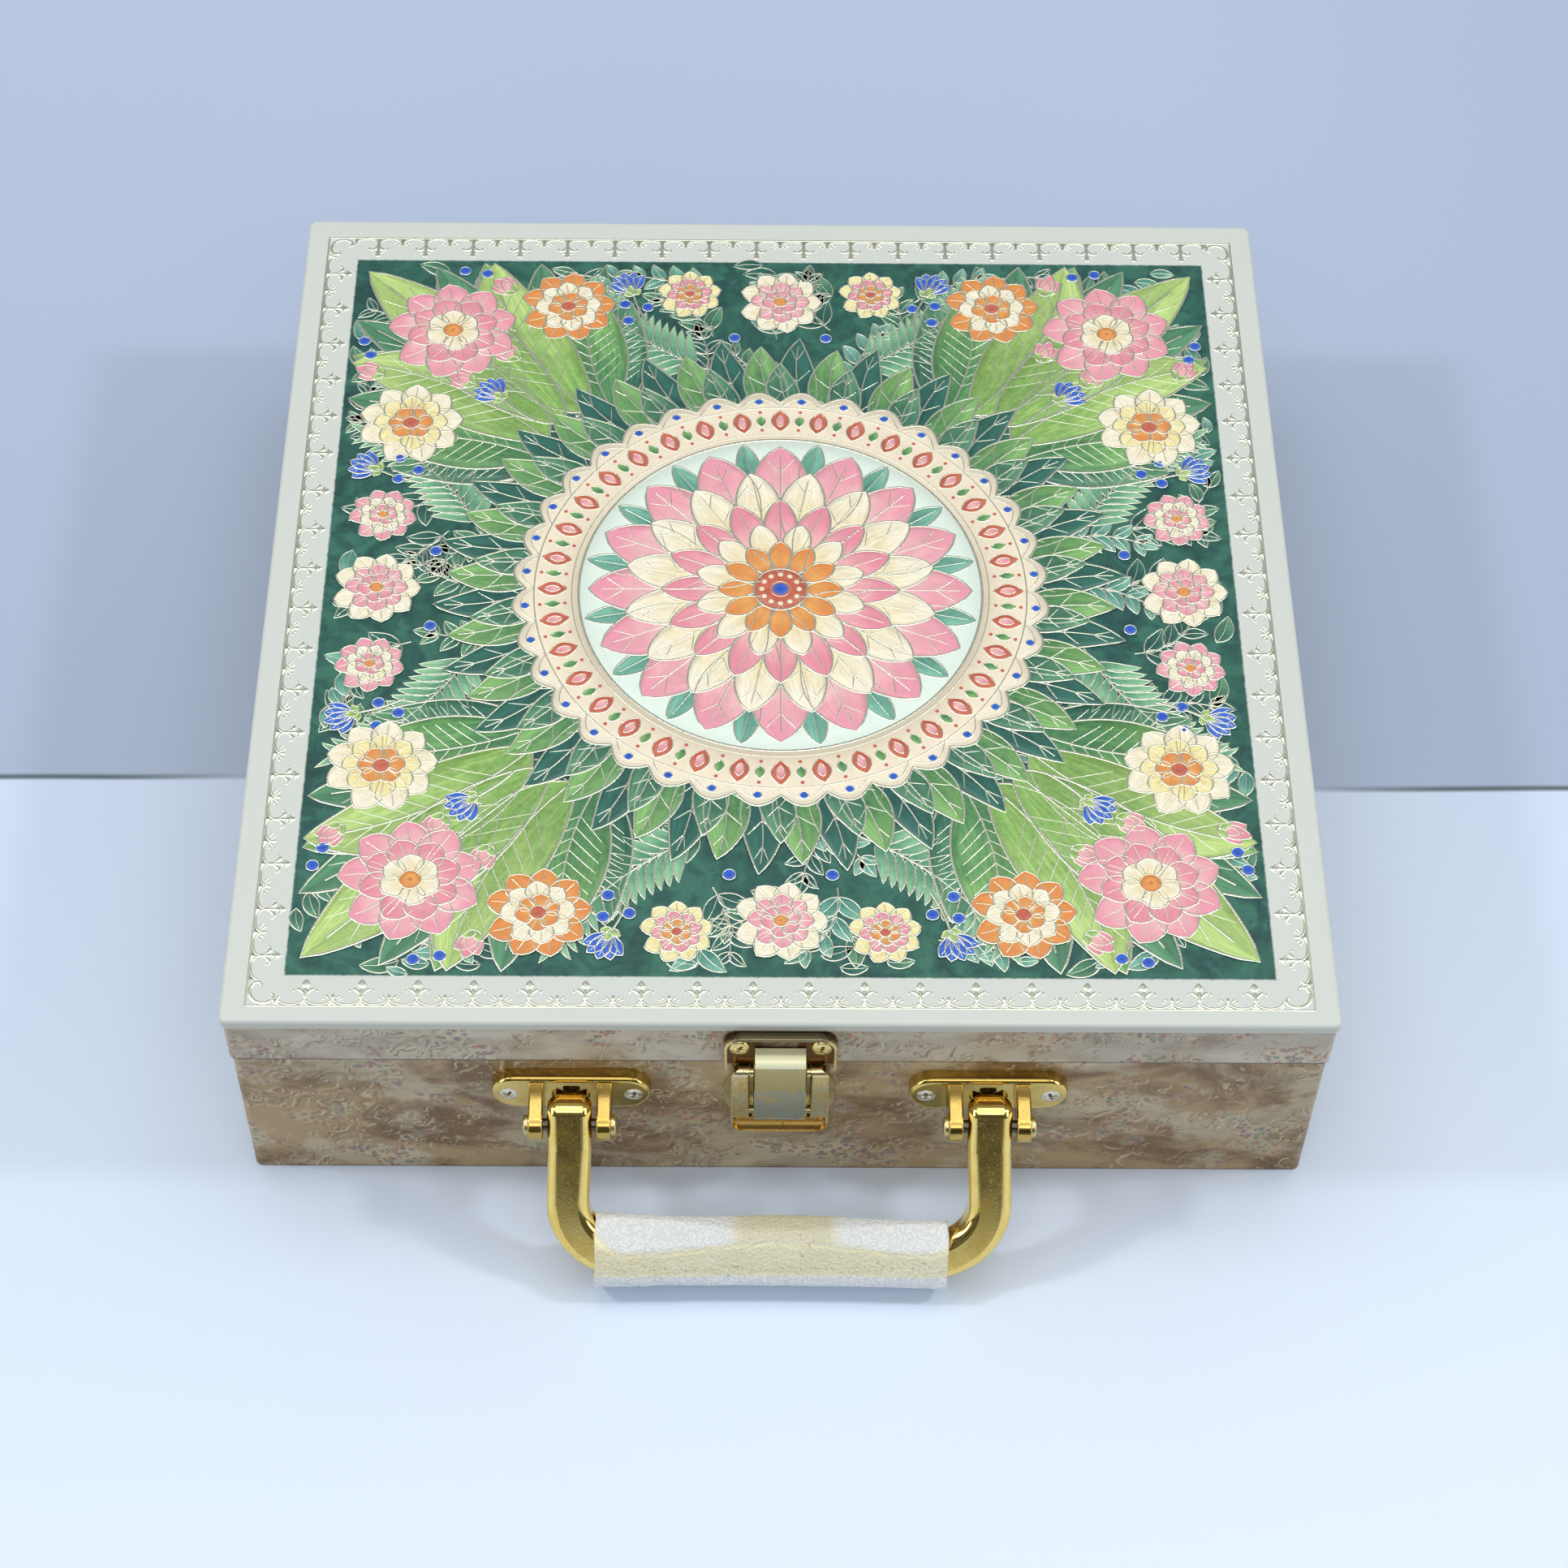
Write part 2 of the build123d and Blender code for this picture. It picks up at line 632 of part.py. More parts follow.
# Latch base: a flat plate with side bulges, a window behind the link and two pivot lugs
lug_inner = link_width / 2 + face_clearance
arm_inner = latch_width / 2 - arm_width
with BuildPart() as latch_base:
    with BuildSketch(front_plane(body_front)) as base_outline:
        with Locations((0, (latch_plate_bottom + latch_plate_top) / 2)):
            RectangleRounded(latch_width, latch_plate_top - latch_plate_bottom,
                             latch_plate_corner)
        for side in (-1, 1):
            edge = side * (latch_width / 2 - latch_plate_corner)
            with BuildLine():
                ThreePointArc((edge, latch_bulge_bottom),
                              (side * (latch_width / 2 + latch_bulge),
                               (latch_bulge_bottom + latch_bulge_top) / 2),
                              (edge, latch_bulge_top))
                Line((edge, latch_bulge_top), (edge, latch_bulge_bottom))
            make_face()
        with Locations((0, (latch_window_bottom + latch_window_top) / 2)):
            Rectangle(2 * lug_inner, latch_window_top - latch_window_bottom,
                      mode=Mode.SUBTRACT)
    extrude(amount=latch_sheet)
    for side in (-1, 1):
        with BuildSketch(Plane.YZ.offset(side * lug_inner)):
            with Locations((-body_front - pivot_proud, pivot_height)):
                Circle(pivot_lug_radius)
            with Locations((-body_front - latch_sheet / 2,
                            latch_plate_top - pivot_lug_root / 2)):
                Rectangle(latch_sheet, pivot_lug_root)
            make_hull()
        extrude(amount=side * latch_sheet)
    with BuildSketch(Plane.YZ):
        with Locations((-body_front - pivot_proud, pivot_height)):
            Circle(latch_pin_radius + pin_clearance)
    extrude(amount=latch_width / 2, both=True, mode=Mode.SUBTRACT)
    countersink(latch_screw_places, body_front + latch_sheet, latch_screw_head,
                latch_screw_radius, latch_sheet)
keep(latch_base, "latch_base_plate")

latch_screws = countersunk_screws(latch_screw_places, body_front + latch_sheet,
                                  latch_screw_head, latch_screw_radius, latch_screw_length,
                                  pin_clearance)
keep(latch_screws, "latch_base_screws")

with BuildPart() as pivot_stubs:
    for side in (-1, 1):
        with BuildSketch(Plane.YZ.offset(side * lug_inner)):
            with Locations((-body_front - pivot_proud, pivot_height)):
                Circle(latch_pin_radius)
        extrude(amount=side * (arm_inner + latch_stub_length - lug_inner))
keep(pivot_stubs, "latch_pivot_stubs")

# Latch lever: two hollow arms that turn on the stubs, joined below by a finger scoop
arm_depth = lever_proud - (latch_sheet + loose_clearance)
arm_round = pivot_proud - (latch_sheet + loose_clearance)
lever_top = pivot_height + arm_round
scoop_radius = (scoop_height ** 2 / 4 + scoop_depth ** 2) / (2 * scoop_depth)
scoop_middle = lever_bottom + scoop_rim + scoop_height / 2

with BuildPart() as scoop:
    with BuildSketch(Plane.YZ):
        with Locations((scoop_depth - body_front - lever_proud - scoop_radius, scoop_middle)):
            Circle(scoop_radius)
    extrude(amount=latch_width / 2 - scoop_rim, both=True)
    with BuildSketch(front_plane(body_front)) as scoop_outline:
        with Locations((0, lever_bottom + scoop_rim + scoop_height)):
            RectangleRounded(latch_width - 2 * scoop_rim, 2 * scoop_height,
                             lever_corner - scoop_rim)
    extrude(amount=lever_proud + 2 * scoop_radius, mode=Mode.INTERSECT)

with BuildPart() as lever:
    with BuildSketch(front_plane(body_front)) as lever_outline:
        with Locations((0, (lever_bottom + lever_top) / 2)):
            Rectangle(latch_width, lever_top - lever_bottom)
        fillet(lever_outline.vertices().group_by(Axis.Y)[0], lever_corner)
        fillet(lever_outline.vertices().group_by(Axis.Y)[-1], lever_shoulder)
        with BuildSketch(mode=Mode.SUBTRACT) as lever_window:
            with Locations((0, (lever_window_bottom + lever_top) / 2)):
                Rectangle(2 * arm_inner, lever_top - lever_window_bottom)
            chamfer(lever_window.vertices().group_by(Axis.Y)[0], lever_window_chamfer)
    extrude(amount=lever_proud)
    fillet(lever.faces().sort_by(Axis.Y)[0].edges(), lever_edge)
    with BuildSketch(Plane.YZ):
        with Locations((-body_front - pivot_proud, pivot_height)):
            Circle(arm_round)
        with Locations((arm_depth / 2 - body_front - lever_proud, lever_bottom + arm_depth)):
            Rectangle(arm_depth, 2 * arm_depth)
        make_hull()
    extrude(amount=latch_width / 2, both=True, mode=Mode.INTERSECT)
    add(scoop.part, mode=Mode.SUBTRACT)
    for side in (-1, 1):
        pocket_width = arm_width - 2 * latch_sheet
        with BuildSketch(front_plane(body_front)):
            with Locations((side * (arm_inner + arm_width / 2),
                            (arm_pocket_bottom + pivot_height) / 2)):
                Rectangle(pocket_width, pivot_height - arm_pocket_bottom)
        extrude(amount=lever_proud - latch_sheet, mode=Mode.SUBTRACT)
    with BuildSketch(Plane.YZ):
        with Locations((-body_front - pivot_proud, pivot_height)):
            Circle(latch_pin_radius + pin_clearance)
        with Locations((-body_front - link_pin_proud, link_pin_height)):
            Circle(latch_pin_radius + pin_clearance)
    extrude(amount=arm_inner + latch_stub_length + face_clearance, both=True,
            mode=Mode.SUBTRACT)
keep(lever, "latch_lever")

with BuildPart() as link_pin:
    with BuildSketch(Plane.YZ):
        with Locations((-body_front - link_pin_proud, link_pin_height)):
            Circle(latch_pin_radius)
    extrude(amount=arm_inner + latch_stub_length, both=True)
keep(link_pin, "latch_link_pin")

# Latch link: a bent channel whose closed lower end turns on the lever's pin
link_round = link_proud - link_pin_proud
link_pin_place = (-body_front - link_pin_proud, link_pin_height)
with BuildPart() as link:
    with BuildSketch(Plane.YZ):
        with Locations(link_pin_place):
            Circle(link_round)
        with Locations((link_flange_depth / 2 - body_front - link_proud,
                        (link_pin_height + link_top) / 2)):
            Rectangle(link_flange_depth, link_top - link_pin_height)
    extrude(amount=link_width / 2, both=True)
    with BuildSketch(front_plane(body_front)) as link_outline:
        with Locations((0, (link_pin_height - link_round + link_top) / 2)):
            Rectangle(link_width, link_top - link_pin_height + link_round)
        fillet(link_outline.vertices().group_by(Axis.Y)[0], link_corner)
    extrude(amount=link_proud, mode=Mode.INTERSECT)
    with BuildSketch(Plane.YZ):
        with Locations(link_pin_place):
            Circle(link_round - latch_sheet)
        with Locations((-body_front - link_proud + latch_sheet + link_round,
                        (link_pin_height + link_top) / 2)):
            Rectangle(2 * link_round, link_top - link_pin_height)
        with Locations((link_round - body_front - link_pin_proud, link_pin_height)):
            Rectangle(2 * link_round, 2 * link_round)
    extrude(amount=link_width / 2 - latch_sheet, both=True, mode=Mode.SUBTRACT)
    with BuildSketch(Plane.YZ):
        with Locations(link_pin_place):
            Circle(latch_pin_radius + pin_clearance)
    extrude(amount=link_width, both=True, mode=Mode.SUBTRACT)
keep(link, "latch_link")

# Latch tongue: a hooked strap, joggled behind the link's face that carries it
hook_front = body_front + hook_proud
neck_front = body_front + link_proud - latch_sheet
with BuildPart() as tongue:
    with BuildSketch(front_plane(neck_front)):
        with Locations((0, (hook_neck_bottom + hook_bottom + hook_joggle) / 2)):
            Rectangle(hook_neck_width, hook_bottom + hook_joggle - hook_neck_bottom)
    extrude(amount=-latch_sheet)
    with BuildSketch(front_plane(hook_front)):
        with Locations((0, hook_bottom + hook_joggle / 2)):
            Rectangle(hook_neck_width, hook_joggle)
    extrude(amount=neck_front - hook_front - latch_sheet)
    with BuildSketch(Plane.YZ) as hook_side:
        with Locations((hook_reach / 2 - hook_front, (hook_bottom + hook_top) / 2)):
            Rectangle(hook_reach, hook_top - hook_bottom)
        outer = hook_side.vertices().filter_by(lambda corner: corner.Y > hook_bottom)
        fillet(outer.sort_by(Axis.X)[0], hook_bend)
        with BuildSketch(mode=Mode.SUBTRACT) as hook_inside:
            with Locations((hook_reach / 2 - hook_front + latch_sheet,
                            (hook_bottom + hook_top) / 2 - latch_sheet)):
                Rectangle(hook_reach, hook_top - hook_bottom)
            inner = hook_inside.vertices().filter_by(lambda corner: corner.Y > hook_bottom)
            fillet(inner.sort_by(Axis.X)[0], hook_bend - latch_sheet)
    extrude(amount=hook_width / 2, both=True)
keep(tongue, "latch_tongue")

# Latch catch: a plate on the lid with a rim on three sides and a shelf bent out of a window
shelf_top = hook_top - latch_sheet - face_clearance
with BuildPart() as catch:
    with BuildSketch(front_plane(lid_front)) as catch_outline:
        with Locations((0, catch_bottom + catch_height / 2)):
            Rectangle(catch_width, catch_height)
        fillet(catch_outline.vertices().group_by(Axis.Y)[-1], catch_corner)
    extrude(amount=catch_rim)
    rim_face = catch.faces().filter_by(Axis.Y).sort_by(Axis.Y)[0]
    fillet(rim_face.edges().filter_by(lambda edge: edge.center().Z > catch_bottom),
           catch_edge)
    with BuildSketch(front_plane(lid_front + latch_sheet)) as catch_hollow:
        with Locations((0, catch_bottom + catch_height / 2 - latch_sheet)):
            Rectangle(catch_width - 2 * latch_sheet, catch_height)
        fillet(catch_hollow.vertices().group_by(Axis.Y)[-1], catch_corner - latch_sheet)
    extrude(amount=catch_rim, mode=Mode.SUBTRACT)
    with BuildSketch(front_plane(lid_front)):
        with Locations((0, shelf_top + catch_window_height / 2)):
            Rectangle(shelf_width, catch_window_height)
    extrude(amount=latch_sheet, mode=Mode.SUBTRACT)
    with BuildSketch(front_plane(lid_front)):
        with Locations((0, shelf_top - latch_sheet / 2)):
            Rectangle(shelf_width, latch_sheet)
    extrude(amount=latch_sheet + shelf_reach)
    bore(catch_screw_places, catch_screw_hole, lid_front + latch_sheet, latch_sheet)
keep(catch, "latch_catch_plate")

with BuildPart() as catch_screws:
    with BuildSketch(front_plane(lid_front + latch_sheet)):
        with Locations(*catch_screw_places):
            Circle(catch_screw_head)
    extrude(amount=catch_screw_head_height)
    fronts = catch_screws.faces().sort_by(Axis.Y)[:len(catch_screw_places)]
    fillet(fronts.edges(), catch_screw_head_height * head_round_share)
    with BuildSketch(front_plane(lid_front + latch_sheet)):
        with Locations(*catch_screw_places):
            Circle(catch_screw_radius)
    extrude(amount=-catch_screw_length)
keep(catch_screws, "latch_catch_screws")
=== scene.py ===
import math

import bmesh
import bpy
import numpy as np
from bpy.props import FloatProperty, FloatVectorProperty, IntProperty, PointerProperty
from bpy.types import Operator, Panel, PropertyGroup
from mathutils import Matrix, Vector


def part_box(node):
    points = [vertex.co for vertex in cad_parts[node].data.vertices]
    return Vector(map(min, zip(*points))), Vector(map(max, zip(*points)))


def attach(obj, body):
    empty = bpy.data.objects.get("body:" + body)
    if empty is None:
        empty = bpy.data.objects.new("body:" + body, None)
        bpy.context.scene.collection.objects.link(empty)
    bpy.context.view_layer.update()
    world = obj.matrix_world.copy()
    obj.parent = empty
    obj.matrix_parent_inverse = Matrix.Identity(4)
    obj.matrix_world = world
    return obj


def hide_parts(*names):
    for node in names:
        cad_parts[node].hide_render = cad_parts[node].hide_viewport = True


bl_info = {
    "name": "Sweet box dressing",
    "version": (1, 0, 0),
    "blender": (4, 5, 0),
    "location": "View3D > Sidebar > Sweet box",
    "description": "Print, foil, papers, metals, foam sleeve and studio for a hinged gift box",
    "category": "Object",
}

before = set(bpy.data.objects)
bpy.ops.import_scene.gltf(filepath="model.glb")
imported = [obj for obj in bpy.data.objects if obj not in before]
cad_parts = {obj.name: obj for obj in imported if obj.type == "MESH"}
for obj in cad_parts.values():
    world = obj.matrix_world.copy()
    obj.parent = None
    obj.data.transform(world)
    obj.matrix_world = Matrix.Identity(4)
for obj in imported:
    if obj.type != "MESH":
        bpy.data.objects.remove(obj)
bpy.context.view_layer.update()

MM = 0.001
TURN = 2 * math.pi
LID_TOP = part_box("lid_top_sheet")[1].z / MM
LAYER = 0.025         # one printed layer over the next, mm
SEAM = 49.1           # height of the gap between body and lid, mm


def layer(rank):
    """Height of a printed layer: the lid's top, and one step up for each rank."""
    return LID_TOP + LAYER * rank


def centre_of(node):
    """Middle of a CAD node's box, in mm."""
    return [round((low + high) / 2 / MM, 3) for low, high in zip(*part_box(node))]


SUNK = layer(-1)      # where the edge of a printed shape ends, inside the sheet
HANDLE_OFFSET, PIN_Y, HANDLE_HEIGHT = centre_of("handle_right_pin")


def srgb(red, green, blue):
    """A screen colour, 0 to 255, as the linear colour that a shader takes."""
    share = np.array([red, green, blue]) / 255
    linear = np.where(share <= 0.04045, share / 12.92, ((share + 0.055) / 1.055) ** 2.4)
    return tuple(float(c) for c in linear)


# Shader maths

class Value:
    """A number, colour or vector inside a material; Python's operators add Math nodes to it."""

    def __init__(self, shader, socket):
        self.shader, self.socket = shader, socket

    def math(self, operation, *others):
        """A Math node of this Value and the others, in their order."""
        return self.shader.node("ShaderNodeMath", {"operation": operation},
                                dict(enumerate((self, *others))))

    def __add__(self, other):
        return self.math("ADD", other)

    __radd__ = __add__

    def __sub__(self, other):
        return self.math("SUBTRACT", other)

    def __rsub__(self, other):
        return (self * -1) + other

    def __mul__(self, other):
        return self.math("MULTIPLY", other)

    __rmul__ = __mul__

    def __abs__(self):
        return self.math("ABSOLUTE")

    def low(self, other):
        """The lower of the two."""
        return self.math("MINIMUM", other)

    def high(self, other):
        """The higher of the two."""
        return self.math("MAXIMUM", other)

    def sine(self):
        return self.math("SINE")

    def over(self, edge, soft):
        """0 below edge - soft, 1 above edge + soft, and a smooth step between."""
        return self.shader.node("ShaderNodeMapRange", {"interpolation_type": "SMOOTHSTEP"},
                                {0: self, 1: edge - soft, 2: edge + soft, 3: 0.0, 4: 1.0})

    def under(self, edge, soft):
        """1 below edge - soft, 0 above edge + soft."""
        return 1 - self.over(edge, soft)


class Shader:
    """One material's node tree. A node is added by its type, its settings and its sockets."""

    def __init__(self, name, owner=None):
        self.material = owner or bpy.data.materials.new(name)
        self.material.use_nodes = True
        self.tree = self.material.node_tree
        self.tree.nodes.clear()

    def node(self, kind, settings=None, sockets=None, output=0):
        """Any node: its settings are set first, then each socket gets its value or its link."""
        node = self.tree.nodes.new(kind)
        for key, value in (settings or {}).items():
            setattr(node, key, value)
        for key, value in (sockets or {}).items():
            socket = node.inputs[key]
            if isinstance(value, Value):
                self.tree.links.new(value.socket, socket)
            elif isinstance(value, tuple) and len(socket.default_value) == 4:
                socket.default_value = (*value, 1.0)
            else:
                socket.default_value = value
        return Value(self, node.outputs[output])

    def place(self):
        """Object coordinates in millimetres, as three Values."""
        return [part * (1 / MM) for part in self.parts("Object")]

    def parts(self, output):
        """One of the Texture Coordinate node's outputs, as three Values."""
        spot = self.node("ShaderNodeTexCoord", output=output)
        return [self.node("ShaderNodeSeparateXYZ", None, {0: spot}, axis) for axis in range(3)]

    def vector(self, x, y, z=0.0):
        return self.node("ShaderNodeCombineXYZ", None, {0: x, 1: y, 2: z})

    def along(self, axis):
        """The piece's own UV map: 0 runs along a blade, 1 runs across it."""
        spot = self.node("ShaderNodeUVMap", {"uv_map": "blade"})
        return self.node("ShaderNodeSeparateXYZ", None, {0: spot}, axis)

    def noise(self, at, size, detail, rough=0.5, twist=0.0, output=0):
        """Cloud noise whose lumps are about size millimetres."""
        return self.node("ShaderNodeTexNoise", None,
                         {"Vector": at, "Scale": 1 / size, "Detail": detail,
                          "Roughness": rough, "Distortion": twist}, output)

    def cells(self, at, size, output="Distance"):
        """Distance from scattered points, about size millimetres apart, in their own units."""
        return self.node("ShaderNodeTexVoronoi", None, {"Vector": at, "Scale": 1 / size}, output)

    def mix(self, factor, first, second):
        """A colour mix: first where the factor is 0, second where it is 1."""
        first, second = (v if isinstance(v, Value) else tuple(v) for v in (first, second))
        return self.node("ShaderNodeMix", {"data_type": "RGBA"},
                         {0: factor, 6: first, 7: second}, 2)

    def coats(self, tone, *coats):
        """Coats over a tone, each a pair of mask and colour: it shows where its mask is 1."""
        for mask, colour in coats:
            tone = self.mix(mask, tone, colour)
        return tone

    def bump(self, height, strength, distance=0.1):
        """A normal from a height of 0 to 1 that stands for this distance in millimetres."""
        return self.node("ShaderNodeBump", None, {"Strength": strength, "Height": height,
                                                  "Distance": distance * MM}, "Normal")

    def close(self, surface, kind="ShaderNodeOutputMaterial"):
        """Link a finished surface to a new output node of this kind."""
        out = self.tree.nodes.new(kind)
        self.tree.links.new(surface.socket, out.inputs["Surface"])

    def done(self, **sockets):
        """The Principled surface, with its sockets given by their names in words."""
        words = {"colour": "Base Color", "rough": "Roughness", "metal": "Metallic",
                 "normal": "Normal", "gloss": "Specular IOR Level", "soft": "Subsurface Weight",
                 "soft_scale": "Subsurface Scale"}
        self.close(self.node("ShaderNodeBsdfPrincipled", None,
                             {words[key]: value for key, value in sockets.items()}, "BSDF"))
        return self.material


# Meshes

def grid(points, uv=None, loop_rows=False, loop_columns=False):
    """Faces of a stack of point grids (count, rows, columns, 3): each cell is one quad."""
    points = np.asarray(points, float)
    if points.ndim == 3:
        points = points[None]
    count, rows, columns, _ = points.shape
    row, column = np.meshgrid(np.arange(rows if loop_rows else rows - 1),
                              np.arange(columns if loop_columns else columns - 1),
                              indexing="ij")
    next_row, next_column = (row + 1) % rows, (column + 1) % columns
    cell = np.stack([row * columns + column, next_row * columns + column,
                     next_row * columns + next_column, row * columns + next_column], -1)
    faces = cell.reshape(-1, 4)[None] + (np.arange(count) * rows * columns)[:, None, None]
    if uv is None:
        down, over = np.meshgrid(np.linspace(0, 1, rows), np.linspace(0, 1, columns),
                                 indexing="ij")
        uv = np.broadcast_to(np.stack([down, over], -1), (count, rows, columns, 2))
    return points.reshape(-1, 3), faces.reshape(-1, 4), np.asarray(uv).reshape(-1, 2)


def link(name, data):
    """A new object of this data, in the scene."""
    thing = bpy.data.objects.new(name, data)
    bpy.context.scene.collection.objects.link(thing)
    return thing


def piece(name, parts, material, body, flip=False, weld=False):
    """One mesh object from grids in millimetres; it rides on a body."""
    points = np.concatenate([part[0] for part in parts]) * MM
    starts = np.cumsum([0] + [len(part[0]) for part in parts[:-1]])
    faces = np.concatenate([part[1] + start for part, start in zip(parts, starts)])
    uv = np.concatenate([part[2] for part in parts])
    if flip:
        faces = faces[:, ::-1]
    mesh = bpy.data.meshes.new(name)
    mesh.vertices.add(len(points))
    mesh.vertices.foreach_set("co", points.astype(np.float32).ravel())
    mesh.loops.add(faces.size)
    mesh.loops.foreach_set("vertex_index", faces.astype(np.int32).ravel())
    mesh.polygons.add(len(faces))
    mesh.polygons.foreach_set("loop_start", np.arange(0, faces.size, 4, dtype=np.int32))
    mesh.update(calc_edges=True)
    mesh.polygons.foreach_set("use_smooth", np.full(len(faces), True))
    uv_map = mesh.uv_layers.new(name="blade")
    uv_map.data.foreach_set("uv", uv[faces.ravel()].astype(np.float32).ravel())
    if weld:
        work = bmesh.new()
        work.from_mesh(mesh)
        bmesh.ops.remove_doubles(work, verts=work.verts, dist=1e-6)
        work.to_mesh(mesh)
        work.free()
    mesh.materials.append(material)
    thing = link(name, mesh)
    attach(thing, body)
    return thing


def dress(material, *nodes):
    """Give CAD nodes their material."""
    for node in nodes:
        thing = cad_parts[node]
        if not thing.material_slots:
            thing.data.materials.append(material)
        for place in thing.material_slots:
            place.material = material


# Flat print shapes

def bezier(first, middle, last, steps):
    """(1-t)^2 first + 2t(1-t) middle + t^2 last, for arrays of points (count, 2)."""
    t = np.linspace(0, 1, steps)[None, :, None]
    first, middle, last = (np.atleast_2d(p)[:, None, :] for p in (first, middle, last))
    return (1 - t) ** 2 * first + 2 * t * (1 - t) * middle + t ** 2 * last


def left_of(path):
    """Unit vectors to the left of a path: its direction turned by a quarter."""
    way = np.gradient(path, axis=-2)
    way /= np.linalg.norm(way, axis=-1, keepdims=True) + 1e-9
    return np.stack([-way[..., 1], way[..., 0]], -1)


def ways(angle):
    """Unit vectors at these angles: (cos, sin)."""
    return np.stack([np.cos(angle), np.sin(angle)], -1)


def around(steps):
    """Evenly spaced angles of one turn."""
    return np.linspace(0, TURN, steps, endpoint=False)


def lifted(flat, height):
    """Flat points (..., 2) given a height: one number, or one for each shape."""
    height = np.asarray(height)
    height = height.reshape(height.shape + (1,) * (flat.ndim - 1 - height.ndim))
    height = np.broadcast_to(height, flat.shape[:-1])
    return np.concatenate([flat, height[..., None]], -1)


ACROSS = np.array([-1, -1, -0.6, -0.2, 0.2, 0.6, 1, 1.0])   # shares of a blade's half width
THINNEST = 0.02                                             # half width at a blade's ends, mm


class Blades:
    """Leaves and petals: a curved spine, with a width that is sin(pi s^fat)^round along it."""

    def __init__(self, start, end, bend, width, fat, rank, round_=0.85, steps=15):
        start, end = np.atleast_2d(start).astype(float), np.atleast_2d(end).astype(float)
        span = end - start
        side = np.stack([-span[:, 1], span[:, 0]], -1)
        bend, width = (np.reshape(v, (-1, 1)) * np.ones((len(start), 1)) for v in (bend, width))
        self.spine = bezier(start, (start + end) / 2 + side * bend, end, steps)
        self.side = left_of(self.spine)
        s = np.linspace(0, 1, steps)
        self.half = np.maximum(width / 2 * np.sin(np.pi * s ** fat)[None] ** round_, THINNEST)
        self.floor = layer(np.asarray(rank) + np.zeros(len(start)))

    def at(self, share, across):
        """Points at a share of the length and a share of the half width."""
        where = np.asarray(share) * (self.spine.shape[1] - 1)
        low = np.clip(where.astype(int), 0, self.spine.shape[1] - 2)
        part = (where - low)[None, :, None]
        spine = self.spine[:, low] * (1 - part) + self.spine[:, low + 1] * part
        side = self.side[:, low] * (1 - part) + self.side[:, low + 1] * part
        half = self.half[:, low] * (1 - part[..., 0]) + self.half[:, low + 1] * part[..., 0]
        return spine + side * (half * across)[..., None]

    def fill(self):
        """The blade's face: rows along the spine, and ACROSS over each row."""
        flat = (self.spine[:, :, None] + self.side[:, :, None] * self.half[:, :, None, None]
                * ACROSS[None, None, :, None])
        points = lifted(flat, self.floor)
        points[:, :, 0, 2] = points[:, :, -1, 2] = SUNK
        down, over = np.meshgrid(np.linspace(0, 1, flat.shape[1]), ACROSS / 2 + 0.5,
                                 indexing="ij")
        uv = np.broadcast_to(np.stack([down, over], -1), flat.shape)
        return grid(points[:, ::-1], uv[:, ::-1])

    def outline(self, width):
        """A foil line up one edge and back down the other."""
        edge = self.side * self.half[..., None]
        path = np.concatenate([self.spine + edge, (self.spine - edge)[:, -2:0:-1]], 1)
        return bead(path, width, self.floor, closed=True)

    def midrib(self, width):
        """A foil line along the spine."""
        return bead(self.at(np.linspace(0.04, 0.9, 10), 0), width, self.floor)

    def veins(self, count):
        """Short lines from the spine towards both edges, each slanted to the tip."""
        slant_share, reach_share, last_share, width = 0.14, 0.78, 0.97, 0.36
        t = np.linspace(0, 1, 4)[None, :, None]
        parts = []
        for share in np.linspace(0.2, 0.72, count):
            inner = self.at([share], 0)
            for way in (-1, 1):
                outer = self.at([min(share + slant_share, last_share)], reach_share * way)
                parts.append(bead(inner * (1 - t) + outer * t, width, self.floor, taper=True))
        return parts


def bead(path, width, floor, closed=False, taper=False, height=0.045):
    """A raised foil line: five points across, low at both sides and round between.

    A tapered one is as wide as width sin(pi s)^0.7, for s from 0.12 to 0.92 along it.
    """
    across = np.array([-0.5, -0.3, 0, 0.3, 0.5])
    rise = np.array([-0.02, 0.8 * height, height, 0.8 * height, -0.02])
    if closed:
        side = left_of(np.concatenate([path[:, -1:], path, path[:, :1]], 1))[:, 1:-1]
    else:
        side = left_of(path)
    wide = width * np.ones(path.shape[1])
    if taper:
        wide = width * np.sin(np.pi * (0.12 + 0.8 * np.linspace(0, 1, path.shape[1]))) ** 0.7
    flat = (path[:, :, None] + side[:, :, None] * across[None, None, :, None]
            * wide[None, :, None, None])
    points = lifted(flat, floor)
    points[..., 2] += rise
    return grid(points[:, ::-1], loop_rows=closed)


def discs(centres, radius, rank, steps, rings=3, dome=0.0):
    """Round spots: polar grids round each centre, with dome (1 - r^2) more height inside."""
    centres = np.atleast_2d(centres).astype(float)
    radius = np.ones(len(centres)) * radius
    angle = around(steps)
    share = np.concatenate([[1.0], np.linspace(1, 0.02, rings)])
    flat = (centres[:, None, None] + share[None, :, None, None] * radius[:, None, None, None]
            * ways(angle)[None, None])
    points = lifted(flat, layer(np.asarray(rank) + np.zeros(len(centres))))
    points[..., 2] += dome * (1 - share[None, :, None] ** 2)
    points[:, 0, :, 2] = SUNK
    polar = np.broadcast_arrays(share[None, :, None], angle[None, None] / TURN)
    uv = np.broadcast_to(np.stack(polar, -1), flat.shape)
    return grid(points, uv, loop_columns=True)


def circle_path(centres, radius, steps):
    """A closed path round each centre."""
    centres = np.atleast_2d(centres).astype(float)
    radius = np.ones(len(centres)) * radius
    return centres[:, None] + radius[:, None, None] * ways(around(steps))[None]


